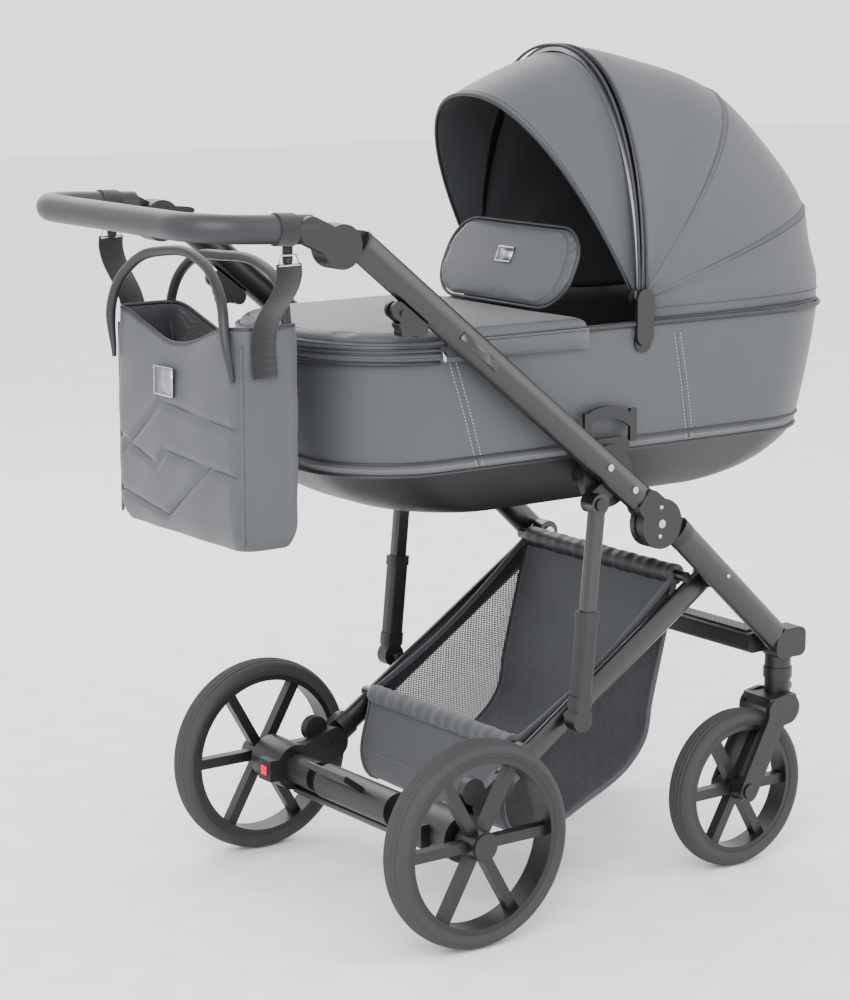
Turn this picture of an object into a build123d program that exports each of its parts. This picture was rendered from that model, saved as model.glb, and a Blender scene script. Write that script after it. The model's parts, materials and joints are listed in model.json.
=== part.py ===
from build123d import *
import math
import os

# Baby stroller: folding chassis with a lift-off carrycot, hood, shopping basket and bag.
# Millimetres. +X forward (towards the swivel wheels), +Y to the pusher's left, +Z up.
# Every place below is worked out in the chassis frame, whose x is 0 at the rear axle.
# X_ORIGIN moves the finished parts so that the row's origin is under the middle of the object.

# ---- fits -------------------------------------------------------------------
RUN = 0.05            # radial clearance of a pin that turns in its hole
GAP = 0.3             # clearance between faces on different bodies
SLIDE_GAP = 0.15      # clearance of a tube that slides in a sleeve

# ---- wheels -----------------------------------------------------------------
REAR_R, REAR_TYRE_W, REAR_Y = 145.0, 46.0, 270.0
FRONT_R, FRONT_TYRE_W, FRONT_Y = 118.5, 40.0, 214.0
WHEELBASE, TRAIL = 520.0, 81.0
TYRE_DEEP = 21.0
SPOKES = 6
SHAFT_R = 6.0

# ---- chassis tubes ----------------------------------------------------------
TUBE_Y, TUBE_WIDE, TUBE_DEEP, WALL = 222.0, 28.0, 42.0, 1.8
UPPER_SLOPE, UPPER_Z0 = -0.8098, 835.2          # z of the upper tube's axis = Z0 + slope * x
UPPER_X_TOP, UPPER_X_LOW = -150.0, 318.0
LOWER_SLOPE, LOWER_Z0 = -0.935, 887.5
LOWER_X_LOW = 585.0
FOLD_X, FOLD_Z = 351.0, 538.0                   # fold joint's pin
FOLD_DISC_R, FOLD_PIN_R = 34.0, 6.0
ELBOW_X, ELBOW_Z, ELBOW_R = -190.0, 960.0, 29.0
GRIP_R, GRIP_BEND_R, GRIP_X, GRIP_Z = 18.5, 70.0, -386.0, 991.0
SLEEVE_X, SLEEVE_Z = -255.0, 984.5

# ---- rear legs, suspension and axle -------------------------------------------
LEG_PIVOT_X, LEG_PIVOT_Z, LEG_PIN_R = 478.0, 441.0, 5.0
KNEE_X, KNEE_Z, KNEE_R = 69.0, 170.0, 24.0
LEG_Y, LEG_WIDE, LEG_DEEP = 190.0, 22.0, 36.0
AXLE_TUBE_R, BRAKE_ROD_R, BRAKE_ROD_DROP = 14.0, 6.0, 33.0
DRUM_R, DRUM_IN_Y, DRUM_OUT_Y = 34.0, 206.0, 243.0
ARM_IN_Y, ARM_OUT_Y = 172.0, 188.0
NECK_R, NECK_END_Y = 22.0, 112.0
PEDAL_R, PEDAL_HALF, PEDAL_Y = 25.5, 88.0, 22.0

# ---- telescopic struts --------------------------------------------------------
STRUT_TOP_X, STRUT_TOP_Z = 239.0, 578.0
STRUT_LOW_X, STRUT_LOW_Z = 210.0, 275.0
STRUT_Y, ROD_W, ROD_T, STRUT_WALL = 228.0, 24.0, 16.0, 3.0
ROD_LONG, SLEEVE_START, STRUT_STROKE = 205.0, 151.0, 32.0

# ---- carrycot -----------------------------------------------------------------
COT_X0, COT_X1, COT_HALF, COT_CORNER = -140.0, 765.0, 196.0, 150.0
COT_RIM_Z, COT_SEAM_Z, COT_BASE_Z = 818.0, 638.0, 566.0
COT_WALL, COT_TAPER, BASE_WALL = 12.0, 14.0, 4.0
MATTRESS_T = 40.0
APRON_X1, APRON_T, APRON_RISE = 250.0, 6.0, 14.0
HOOD_X, HOOD_Z = 344.0, 852.0                   # hood's pivot
HOOD_TOP_R, HOOD_BACK_R = 344.0, 417.0
HOOD_HALF, HOOD_T, BOW_W = 192.0, 4.0, 14.0
VISOR_FROM, VISOR_ANGLE = 2.0, 29.0
VISOR_X_R, VISOR_HALF, VISOR_TOP_R, VISOR_T = 300.0, 180.0, 336.0, 3.0
SOCKET_X, SOCKET_Z, SOCKET_R = 275.0, 610.0, 44.0

# ---- basket and bag -----------------------------------------------------------
BASKET_HALF, BASKET_T, BAR_R, HEM_R = 174.0, 3.0, 8.0, 11.0
BAG_X0, BAG_X1, BAG_HALF, BAG_Z0, BAG_Z1, BAG_T = -306.0, -200.0, 166.0, 556.0, 852.0, 5.0
STRAP_X, STRAP_W, STRAP_T = -263.0, 38.0, 3.0

REAR_MOST = GRIP_X - GRIP_R
FRONT_MOST = HOOD_X + HOOD_BACK_R + HOOD_T
X_ORIGIN = (REAR_MOST + FRONT_MOST) / 2

UPPER_DIR = Vector(1, 0, UPPER_SLOPE).normalized()
LOWER_DIR = Vector(1, 0, LOWER_SLOPE).normalized()
SWIVEL_X = WHEELBASE + TRAIL


def upper_at(x):
    return Vector(x, -TUBE_Y, UPPER_Z0 + UPPER_SLOPE * x)


def lower_at(x):
    return Vector(x, -TUBE_Y, LOWER_Z0 + LOWER_SLOPE * x)


def along(start, direction, length):
    return start + direction * length


def side_plane(y):
    """A plane parallel to the object's side, at y; extruding goes towards -Y."""
    return Plane(origin=(0, y, 0), x_dir=(1, 0, 0), z_dir=(0, -1, 0))


def disc(x, z, r, y0, y1):
    return Pos(x, (y0 + y1) / 2, z) * Rot(90, 0, 0) * Cylinder(r, abs(y1 - y0))


def bar(p, q, r):
    """Round bar from p to q."""
    line = Vector(*q) - Vector(*p)
    return extrude(Plane(origin=p, z_dir=line.normalized()) * Circle(r), line.length)


def capsule(p, q, wide, y0, y1):
    """Flat round-ended plate from (x, z) p to q, between the side planes y0 and y1 (y0 < y1)."""
    line = Vector(q[0] - p[0], q[1] - p[1])
    turn = math.degrees(math.atan2(line.Y, line.X))
    slot = Pos((p[0] + q[0]) / 2, (p[1] + q[1]) / 2) * Rot(0, 0, turn) * SlotCenterToCenter(line.length, wide)
    return extrude(side_plane(y1) * slot, y1 - y0)


def oval_tube(p, q, deep, wide, wall=WALL):
    """Oval tube from p to q, deep in the side plane and wide across; wall 0 makes it solid."""
    line = q - p
    plane = Plane(origin=p, x_dir=(0, 1, 0), z_dir=line.normalized())
    tube = extrude(plane * Ellipse(wide / 2, deep / 2), line.length)
    if wall:
        tube -= extrude(plane * Ellipse(wide / 2 - wall, deep / 2 - wall), line.length)
    return tube


def rounded_bar(p, q, across_x, across_y, corner):
    line = q - p
    plane = Plane(origin=p, x_dir=(0, 1, 0), z_dir=line.normalized())
    return extrude(plane * RectangleRounded(across_y, across_x, corner), line.length)


def mirrored(shape):
    return shape.mirror(Plane.XZ)


def pair(shape):
    return Compound(children=[shape, mirrored(shape)])


def loft_outline(x0, x1, half, corner, z):
    outline = RectangleRounded(x1 - x0, 2 * half, corner)
    return Plane.XY.offset(z) * Pos((x0 + x1) / 2, 0) * outline


# ---- lower front frame ----------------------------------------------------------
def lower_start():
    """Where the lower tube leaves the fold joint's collar."""
    to_pin = Vector(FOLD_X, -TUBE_Y, FOLD_Z) - lower_at(FOLD_X)
    foot = lower_at(FOLD_X) + LOWER_DIR * to_pin.dot(LOWER_DIR)
    return foot, along(foot, LOWER_DIR, FOLD_DISC_R + 23)


def front_tube():
    return oval_tube(lower_start()[1], lower_at(LOWER_X_LOW), TUBE_DEEP, TUBE_WIDE)


def fold_joint_base():
    foot, start = lower_start()
    collar = oval_tube(along(foot, LOWER_DIR, FOLD_DISC_R + 5), start, TUBE_DEEP + 1, TUBE_WIDE + 1, 0)
    tongue = disc(FOLD_X, FOLD_Z, FOLD_DISC_R, -TUBE_Y - 4, -TUBE_Y + 4)
    tip = along(foot, LOWER_DIR, 34)
    strip = capsule((foot.X, foot.Z), (tip.X, tip.Z), TUBE_DEEP - 6, -TUBE_Y - 4, -TUBE_Y + 4)
    return tongue + strip + collar - disc(FOLD_X, FOLD_Z, FOLD_PIN_R + RUN, -TUBE_Y - 5, -TUBE_Y + 5)


HOUSING_Z0, HOUSING_R = 268.0, 19.5
STEM_R = 7.0


def front_knuckle():
    low = lower_at(LOWER_X_LOW)
    nose = oval_tube(low, along(low, LOWER_DIR, 26), TUBE_DEEP, TUBE_WIDE, 0)
    cap = Pos(SWIVEL_X + 6, -TUBE_Y + 2, low.Z - 12) * Box(58, 32, 44)
    cap = fillet(cap.edges().filter_by(Axis.Y), 12)
    housing = Pos(SWIVEL_X, -FRONT_Y, (HOUSING_Z0 + low.Z) / 2)
    housing = housing * Cylinder(HOUSING_R, low.Z - HOUSING_Z0)
    ring = Pos(SWIVEL_X, -FRONT_Y, HOUSING_Z0 + 14) * Cylinder(HOUSING_R + 2, 16)
    body = cap + housing + ring + nose
    body -= oval_tube(along(low, LOWER_DIR, -60), low, TUBE_DEEP + 4, TUBE_WIDE + 10, 0)
    return body - Pos(SWIVEL_X, -FRONT_Y, HOUSING_Z0) * Cylinder(STEM_R + RUN, 80)


FOOT_X0, FOOT_X1, FOOT_Z, FOOT_H = 552.0, 590.0, 346.0, 30.0


def footrest_end():
    """Inner side plane of the knuckle's cap, where the footrest ends."""
    return TUBE_Y - 2 - 16


def footrest_bar():
    block = Pos((FOOT_X0 + FOOT_X1) / 2, 0, FOOT_Z - 3 - FOOT_H / 2)
    block = block * Box(FOOT_X1 - FOOT_X0, 2 * footrest_end(), FOOT_H)
    return fillet(block.edges().filter_by(Axis.Y), 7) - front_knuckle() - mirrored(front_knuckle())


def footrest_pad():
    pad = Pos((FOOT_X0 + FOOT_X1) / 2, 0, FOOT_Z - 1.5)
    pad = pad * Box(FOOT_X1 - FOOT_X0 - 10, 2 * footrest_end() - 24, 3)
    return fillet(pad.edges().filter_by(Axis.Z), 8)


def leg_pivot_pin():
    stop = TUBE_Y - TUBE_WIDE / 2
    pin = disc(LEG_PIVOT_X, LEG_PIVOT_Z, LEG_PIN_R, -stop, -LEG_Y + LEG_WIDE / 2 + 2)
    head = disc(LEG_PIVOT_X, LEG_PIVOT_Z, 9, -LEG_Y + LEG_WIDE / 2 + GAP, -LEG_Y + LEG_WIDE / 2 + 3)
    washer = disc(LEG_PIVOT_X, LEG_PIVOT_Z, 12, -stop, -LEG_Y - LEG_WIDE / 2 - GAP)
    return pin + head + washer


# ---- handle frame ---------------------------------------------------------------
def handle_tube():
    return oval_tube(upper_at(UPPER_X_TOP), upper_at(UPPER_X_LOW), TUBE_DEEP, TUBE_WIDE)


def fold_joint_cover():
    start = upper_at(UPPER_X_LOW)
    to_pin = Vector(FOLD_X, -TUBE_Y, FOLD_Z) - start
    reach = to_pin.dot(UPPER_DIR)
    collar = oval_tube(start, along(start, UPPER_DIR, reach - FOLD_DISC_R - 1), TUBE_DEEP + 1, TUBE_WIDE + 1, 0)
    far = along(start, UPPER_DIR, reach)
    body = collar
    for y0, y1 in ((-TUBE_Y - 15, -TUBE_Y - 4 - GAP), (-TUBE_Y + 4 + GAP, -TUBE_Y + 14)):
        body += disc(FOLD_X, FOLD_Z, FOLD_DISC_R + 2, y0, y1)
        body += capsule((start.X + 12, start.Z - 10), (far.X, far.Z), TUBE_DEEP, y0, y1)
    trim = oval_tube(along(start, UPPER_DIR, -60), start, TUBE_DEEP + 20, TUBE_WIDE + 20, 0)
    return body - trim - disc(FOLD_X, FOLD_Z, FOLD_PIN_R, -TUBE_Y - 20, -TUBE_Y + 20)


def fold_joint_pin():
    return disc(FOLD_X, FOLD_Z, FOLD_PIN_R, -TUBE_Y - 15, -TUBE_Y + 14)


def elbow_base():
    top = upper_at(UPPER_X_TOP)
    plate = disc(ELBOW_X, ELBOW_Z, ELBOW_R, -TUBE_Y + GAP, -TUBE_Y + 14)
    neck = capsule((ELBOW_X, ELBOW_Z), (top.X, top.Z), TUBE_DEEP, -TUBE_Y + GAP, -TUBE_Y + 14)
    plug = oval_tube(along(top, UPPER_DIR, -4), top, TUBE_DEEP + 1, TUBE_WIDE + 1, 0)
    trim = oval_tube(top, along(top, UPPER_DIR, 80), TUBE_DEEP + 20, TUBE_WIDE + 20, 0)
    return plate + neck + plug - trim - disc(ELBOW_X, ELBOW_Z, LEG_PIN_R + RUN, -TUBE_Y - 1, -TUBE_Y + 15)


def seat_bracket():
    inner = TUBE_Y - TUBE_WIDE / 2
    socket = disc(SOCKET_X, SOCKET_Z, SOCKET_R, -inner, -inner + 4.2)
    arm = capsule((STRUT_TOP_X, STRUT_TOP_Z), (SOCKET_X + 14, SOCKET_Z), 28, -STRUT_Y + ROD_T / 2 + GAP, -inner)
    body = socket + arm + disc(STRUT_TOP_X, STRUT_TOP_Z, LEG_PIN_R, -STRUT_Y - ROD_T / 2 - 3, -inner)
    body += disc(STRUT_TOP_X, STRUT_TOP_Z, 9, -STRUT_Y - ROD_T / 2 - 3, -STRUT_Y - ROD_T / 2 - GAP)
    return body - oval_tube(upper_at(UPPER_X_TOP), upper_at(UPPER_X_LOW), TUBE_DEEP, TUBE_WIDE, 0)


LATCH_X, LATCH_Z = -92.0, 868.0


def latch_mount():
    """Fixed cheek under the handle tube that carries the fold latch."""
    cheek = capsule((LATCH_X, LATCH_Z), (LATCH_X + 18, LATCH_Z + 18), 22, -TUBE_Y - 3, -TUBE_Y + 3)
    body = cheek + disc(LATCH_X, LATCH_Z, 4, -TUBE_Y - 11, -TUBE_Y + 11)
    return body - oval_tube(upper_at(UPPER_X_TOP), upper_at(UPPER_X_LOW), TUBE_DEEP, TUBE_WIDE, 0)


def fold_latch():
    clear = oval_tube(upper_at(UPPER_X_TOP - 40), upper_at(UPPER_X_LOW), TUBE_DEEP + 8, TUBE_WIDE + 8, 0)
    body = None
    for y0, y1 in ((-TUBE_Y - 9, -TUBE_Y - 3 - GAP), (-TUBE_Y + 3 + GAP, -TUBE_Y + 9)):
        cheek = capsule((LATCH_X - 6, LATCH_Z + 4), (LATCH_X + 30, LATCH_Z - 24), 22, y0, y1)
        body = cheek if body is None else body + cheek
    finger = capsule((LATCH_X + 4, LATCH_Z - 26), (LATCH_X + 30, LATCH_Z - 24), 12, -TUBE_Y - 9, -TUBE_Y + 9)
    trigger = capsule((LATCH_X + 6, LATCH_Z - 26), (LATCH_X - 2, LATCH_Z - 16), 7, -TUBE_Y - 9, -TUBE_Y + 9)
    body = body + finger + trigger - disc(LATCH_X, LATCH_Z, 15, -TUBE_Y - 3 - GAP, -TUBE_Y + 3 + GAP)
    return body - clear - disc(LATCH_X, LATCH_Z, 4 + RUN, -TUBE_Y - 12, -TUBE_Y + 12)


# ---- swinging handle ------------------------------------------------------------
def grip():
    path = FilletPolyline(
        (SLEEVE_X, -TUBE_Y, SLEEVE_Z),
        (GRIP_X, -TUBE_Y, GRIP_Z),
        (GRIP_X, TUBE_Y, GRIP_Z),
        (SLEEVE_X, TUBE_Y, SLEEVE_Z),
        radius=GRIP_BEND_R,
    )
    return sweep(Plane(origin=path @ 0, z_dir=path % 0) * Circle(GRIP_R), path=path)


def handle_elbow():
    start = Vector(SLEEVE_X, -TUBE_Y, SLEEVE_Z)
    away = Vector(GRIP_X - SLEEVE_X, 0, GRIP_Z - SLEEVE_Z).normalized() * -1
    sleeve = bar(start, along(start, away, 26), GRIP_R + 0.5)
    cheek = capsule((ELBOW_X, ELBOW_Z), (SLEEVE_X + 18, SLEEVE_Z - 2), 2 * GRIP_R, -TUBE_Y - 18, -TUBE_Y - GAP)
    cover = disc(ELBOW_X, ELBOW_Z, ELBOW_R, -TUBE_Y - 18, -TUBE_Y - GAP)
    pin = disc(ELBOW_X, ELBOW_Z, LEG_PIN_R, -TUBE_Y - 10, -TUBE_Y + 13)
    return sleeve + cheek + cover + pin - bar(along(start, away, -30), start, GRIP_R + 5)


# ---- rear legs ------------------------------------------------------------------
def leg_dir():
    return Vector(KNEE_X - LEG_PIVOT_X, 0, KNEE_Z - LEG_PIVOT_Z).normalized()


def rear_leg():
    top = Vector(LEG_PIVOT_X, -LEG_Y, LEG_PIVOT_Z)
    knee = Vector(KNEE_X, -LEG_Y, KNEE_Z)
    tube = oval_tube(along(top, leg_dir(), 12), along(knee, leg_dir(), -46), LEG_DEEP, LEG_WIDE, 0)
    tube += disc(LEG_PIVOT_X, LEG_PIVOT_Z, LEG_DEEP / 2, -LEG_Y - LEG_WIDE / 2, -LEG_Y + LEG_WIDE / 2)
    return tube - disc(LEG_PIVOT_X, LEG_PIVOT_Z, LEG_PIN_R + RUN, -LEG_Y - 20, -LEG_Y + 20)


def rear_knuckle():
    knee = Vector(KNEE_X, -LEG_Y, KNEE_Z)
    top = along(knee, leg_dir(), -46)
    y0, y1 = -ARM_OUT_Y - GAP - 14, -ARM_OUT_Y - GAP
    sleeve = oval_tube(top, along(knee, leg_dir(), -26), LEG_DEEP + 5, LEG_WIDE + 4, 0)
    cheek = capsule((KNEE_X, KNEE_Z), (top.X - 10, top.Z - 6), 2 * KNEE_R - 8, y0, y1)
    body = sleeve + cheek + disc(KNEE_X, KNEE_Z, KNEE_R, y0, y1) + disc(KNEE_X - 22, KNEE_Z + 22, 19, y0, y1)
    return body - rear_leg() + disc(KNEE_X, KNEE_Z, LEG_PIN_R, y1, -ARM_IN_Y + 2)


def rear_axle_housing():
    z = REAR_R
    body = disc(0, z, DRUM_R, -DRUM_OUT_Y, -ARM_IN_Y)
    plate = capsule((0, z), (KNEE_X, KNEE_Z), 2 * KNEE_R, -ARM_OUT_Y, -ARM_IN_Y)
    lug = disc(0, z, DRUM_R, -ARM_OUT_Y, -ARM_IN_Y) + disc(KNEE_X, KNEE_Z, KNEE_R, -ARM_OUT_Y, -ARM_IN_Y)
    neck = disc(0, z, NECK_R, -ARM_IN_Y, -NECK_END_Y)
    frame = Pos(-DRUM_R - 2, -(ARM_IN_Y + 17), z) * Box(18, 32, 32)
    body = body + plate + lug + neck + frame
    pocket = Box(BUTTON_DEEP + BUTTON_TRAVEL, BUTTON + 2 * SLIDE_GAP, BUTTON + 2 * SLIDE_GAP)
    body -= Pos(-DRUM_R - 11 + (BUTTON_DEEP + BUTTON_TRAVEL) / 2, -(ARM_IN_Y + 17), z) * pocket
    body -= disc(0, z, SHAFT_R, -DRUM_OUT_Y - 1, -150)
    body -= disc(0, z, AXLE_TUBE_R, -150, -NECK_END_Y + 1)
    return body - disc(KNEE_X, KNEE_Z, LEG_PIN_R + RUN, -ARM_OUT_Y - 1, -ARM_IN_Y + 1)


BUTTON, BUTTON_DEEP, BUTTON_TRAVEL, BUTTON_PROUD = 14.0, 9.0, 4.0, 2.0


def wheel_release():
    deep = BUTTON_DEEP + BUTTON_PROUD
    return Pos(-DRUM_R - 11 - BUTTON_PROUD + deep / 2, -(ARM_IN_Y + 17), REAR_R) * Box(deep, BUTTON, BUTTON)


def axle_tube():
    tube = disc(0, REAR_R, AXLE_TUBE_R, -150, 150) - disc(0, REAR_R, AXLE_TUBE_R - 2, -151, 151)
    return tube


def axle_shaft():
    return disc(0, REAR_R, SHAFT_R, -REAR_Y - REAR_TYRE_W / 2 + 6, -150)


def brake_rod():
    return disc(0, REAR_R - BRAKE_ROD_DROP, BRAKE_ROD_R, -ARM_IN_Y, ARM_IN_Y)


def brake_pedal():
    sleeve = disc(0, REAR_R, PEDAL_R, -PEDAL_HALF, PEDAL_HALF)
    paddle = Pos(-30, PEDAL_Y, REAR_R + 26) * Rot(0, 36, 0) * Box(46, 96, 9)
    body = sleeve + fillet(paddle.edges().filter_by(Axis.Y), 3)
    return body - disc(0, REAR_R, AXLE_TUBE_R + RUN, -PEDAL_HALF - 1, PEDAL_HALF + 1)


# ---- struts ---------------------------------------------------------------------
def strut_dir():
    return Vector(STRUT_LOW_X - STRUT_TOP_X, 0, STRUT_LOW_Z - STRUT_TOP_Z).normalized()


def strut_tube():
    top = Vector(STRUT_TOP_X, -STRUT_Y, STRUT_TOP_Z)
    body = rounded_bar(top, along(top, strut_dir(), ROD_LONG), ROD_W, ROD_T, 5)
    body += disc(STRUT_TOP_X, STRUT_TOP_Z, 15, -STRUT_Y - ROD_T / 2, -STRUT_Y + ROD_T / 2)
    return body - disc(STRUT_TOP_X, STRUT_TOP_Z, LEG_PIN_R + RUN, -STRUT_Y - 9, -STRUT_Y + 9)


def strut_sleeve():
    top = Vector(STRUT_TOP_X, -STRUT_Y, STRUT_TOP_Z)
    low = Vector(STRUT_LOW_X, -STRUT_Y, STRUT_LOW_Z)
    start = along(top, strut_dir(), SLEEVE_START)
    outer = rounded_bar(start, low, ROD_W + 2 * STRUT_WALL, ROD_T + 2 * STRUT_WALL, 7)
    collar = rounded_bar(start, along(start, strut_dir(), 14), ROD_W + 10, ROD_T + 6, 7)
    clip = rounded_bar(along(low, strut_dir(), -34), along(low, strut_dir(), -16), ROD_W + 10, ROD_T + 6, 7)
    eye = disc(STRUT_LOW_X, STRUT_LOW_Z, 17, -STRUT_Y - 11, -STRUT_Y + 11)
    body = outer + collar + clip + eye
    body += disc(STRUT_LOW_X, STRUT_LOW_Z, 6, -STRUT_Y + 10, -LEG_Y - LEG_WIDE / 2 - GAP)
    bore = rounded_bar(start, along(start, strut_dir(), ROD_LONG - SLEEVE_START + STRUT_STROKE + 14),
                       ROD_W + 2 * SLIDE_GAP, ROD_T + 2 * SLIDE_GAP, 5)
    return body - bore


# ---- wheels and casters -----------------------------------------------------------
def tyre(x, y, r, wide):
    body = disc(x, r, r, -y - wide / 2, -y + wide / 2)
    body = fillet(body.edges().filter_by(GeomType.CIRCLE), 9)
    return body - disc(x, r, r - TYRE_DEEP, -y - wide, -y + wide)


def rim(x, y, r, wide, hub_r, hub_half):
    outer = r - TYRE_DEEP
    body = disc(x, r, outer, -y - wide / 2 + 4, -y + wide / 2 - 4)
    body -= disc(x, r, outer - 9, -y - wide, -y + wide)
    spoke = Pos(0, 0, (outer - 5) / 2) * Box(15, 16, outer - 5)
    for k in range(SPOKES):
        body += Pos(x, -y, r) * Rot(0, 30 + k * 360 / SPOKES, 0) * spoke
    body += disc(x, r, hub_r, -y - hub_half, -y + hub_half)
    return body - disc(x, r, SHAFT_R + RUN, -y - hub_half, -y + hub_half)


def rear_rim():
    outer = REAR_TYRE_W / 2 - 2
    cap = disc(0, REAR_R, 19, -REAR_Y - outer - 2, -REAR_Y - outer)
    return rim(0, REAR_Y, REAR_R, REAR_TYRE_W, 21, outer) + cap


FORK_T, FORK_SIDE = 8.0, 5.0


def caster_fork():
    y = -FRONT_Y
    stem = Pos(SWIVEL_X, y, HOUSING_Z0 + 12) * Cylinder(STEM_R, 56)
    body = Pos(SWIVEL_X, y, HOUSING_Z0 - GAP - 18) * Cylinder(HOUSING_R, 36) + stem
    inner = FRONT_TYRE_W / 2 + FORK_SIDE
    for side in (-1, 1):
        y0, y1 = sorted((y + side * inner, y + side * (inner + FORK_T)))
        body += capsule((WHEELBASE, FRONT_R), (SWIVEL_X - 22, HOUSING_Z0 - 38), 34, y0, y1)
        body += capsule((SWIVEL_X - 22, HOUSING_Z0 - 38), (SWIVEL_X - 8, HOUSING_Z0 - 36), 46, y0, y1)
    crown = Pos(SWIVEL_X - 14, y, HOUSING_Z0 - 24) * Box(54, 2 * (inner + FORK_T), 15)
    body += fillet(crown.edges().filter_by(Axis.Z), 8)
    body += disc(WHEELBASE, FRONT_R, SHAFT_R, y - inner - FORK_T - 3, y + inner + FORK_T)
    body += disc(WHEELBASE, FRONT_R, 11, y - inner - FORK_T - 3, y - inner)
    return body - swivel_pocket()


LOCK_W = 17.0


def swivel_pocket():
    return Pos(SWIVEL_X + HOUSING_R - 5, -FRONT_Y, HOUSING_Z0 - 9) * Box(12, LOCK_W + 2 * SLIDE_GAP, 9 + 2 * SLIDE_GAP)


def swivel_lock():
    return Pos(SWIVEL_X + HOUSING_R - 1.5, -FRONT_Y, HOUSING_Z0 - 9) * Box(7, LOCK_W, 9)


# ---- carrycot ---------------------------------------------------------------------
def cot_body():
    top = loft_outline(COT_X0, COT_X1, COT_HALF, COT_CORNER, COT_RIM_Z)
    low = loft_outline(COT_X0 + COT_TAPER, COT_X1 - 3 * COT_TAPER, COT_HALF - COT_TAPER, COT_CORNER - 20, COT_SEAM_Z)
    shell = loft([low, top])
    inner_top = loft_outline(COT_X0 + COT_WALL, COT_X1 - COT_WALL, COT_HALF - COT_WALL, COT_CORNER - 12,
                             COT_RIM_Z + 1)
    inner_low = loft_outline(COT_X0 + COT_TAPER + COT_WALL, COT_X1 - 3 * COT_TAPER - COT_WALL,
                             COT_HALF - COT_TAPER - COT_WALL, COT_CORNER - 32, COT_SEAM_Z + COT_WALL)
    return shell - loft([inner_low, inner_top])


def cot_tub(inset, top_z):
    """Solid of the moulded tub's shape, drawn in by inset all round."""
    top = loft_outline(COT_X0 + COT_TAPER + inset, COT_X1 - 3 * COT_TAPER - inset, COT_HALF - COT_TAPER - inset,
                       COT_CORNER - 20, top_z)
    mid = loft_outline(COT_X0 + 4 * COT_TAPER + inset, COT_X1 - 5 * COT_TAPER - inset,
                       COT_HALF - 2.5 * COT_TAPER - inset, COT_CORNER - 30, (COT_SEAM_Z + COT_BASE_Z) / 2 + 4)
    low = loft_outline(COT_X0 + 12 * COT_TAPER + inset, COT_X1 - 13 * COT_TAPER - inset,
                       COT_HALF - 5 * COT_TAPER - inset, COT_CORNER - 50, COT_BASE_Z + inset)
    return loft([low, mid, top])


def cot_base():
    return cot_tub(0, COT_SEAM_Z) - cot_tub(BASE_WALL, COT_SEAM_Z + 1)


def mattress():
    z = COT_SEAM_Z + COT_WALL
    inset = COT_WALL + 3
    pad = loft_outline(COT_X0 + COT_TAPER + inset, COT_X1 - 3 * COT_TAPER - inset,
                       COT_HALF - COT_TAPER - inset, COT_CORNER - 34, z)
    return extrude(pad, MATTRESS_T)


def apron():
    """Padded cover over the foot half: a slab on the rim, with its skirt down outside the rim."""
    outline = loft_outline(COT_X0 - APRON_T, COT_X1, COT_HALF + APRON_T, COT_CORNER + APRON_T, COT_RIM_Z - 26)
    slab = extrude(outline, 26 + APRON_RISE)
    inside = loft_outline(COT_X0 - GAP, COT_X1, COT_HALF + GAP, COT_CORNER, COT_RIM_Z - 27)
    slab -= extrude(inside, 27)
    keep = Pos((COT_X0 - 50 + APRON_X1) / 2, 0, COT_RIM_Z) * Box(APRON_X1 - COT_X0 + 50, 600, 200)
    return slab & keep


ADAPTER_Y = 203.3


def cot_adapter():
    y0, y1 = -ADAPTER_Y, -COT_HALF + 1
    body = disc(SOCKET_X, SOCKET_Z, SOCKET_R, y0, y1)
    body += capsule((SOCKET_X - 10, COT_SEAM_Z - 24), (SOCKET_X + 26, COT_SEAM_Z - 24), 36, y1 - 1,
                    -COT_HALF + 3 * COT_TAPER)
    body += capsule((SOCKET_X - 10, SOCKET_Z + 40), (SOCKET_X + 30, SOCKET_Z + 40), 26, y0 + 1.5, y1)
    return body - cot_tub(0, COT_SEAM_Z) - cot_body()


def adapter_release():
    """Arc-shaped lever above the adapter's disc."""
    y0, y1 = -ADAPTER_Y, -COT_HALF - GAP - 1.5
    arc = disc(SOCKET_X, SOCKET_Z + 14, 84, y0, y1) - disc(SOCKET_X, SOCKET_Z + 14, 67, y0 - 1, y1 + 1)
    keep = Pos(SOCKET_X + 8, (y0 + y1) / 2, SOCKET_Z + 90) * Box(94, 20, 70)
    body = arc & keep
    for x in (SOCKET_X - 33, SOCKET_X + 49):
        body += Pos(x, (y0 + y1) / 2, SOCKET_Z + 68) * Box(12, abs(y1 - y0), 46)
    return body - capsule((SOCKET_X - 10, SOCKET_Z + 40), (SOCKET_X + 30, SOCKET_Z + 40), 26 + 2 * GAP,
                          y0 - 1, y1 + 1)


# ---- hood -------------------------------------------------------------------------
def ellipsoid(x_half, y_half, z_half):
    return Pos(HOOD_X, 0, HOOD_Z) * scale(Sphere(1), by=(x_half, y_half, z_half))


def hood_rear():
    """Quarter of a hollow ellipsoid, from just behind the bow to the carrycot's head end."""
    shell = ellipsoid(HOOD_BACK_R + HOOD_T, HOOD_HALF + HOOD_T, HOOD_TOP_R + HOOD_T)
    shell -= ellipsoid(HOOD_BACK_R, HOOD_HALF, HOOD_TOP_R)
    x0, z0 = HOOD_X + BOW_W / 2 + 1, COT_RIM_Z + GAP
    keep = Pos(x0 + 300, 0, z0 + 300) * Box(600, 600, 600)
    return shell & keep


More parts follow.
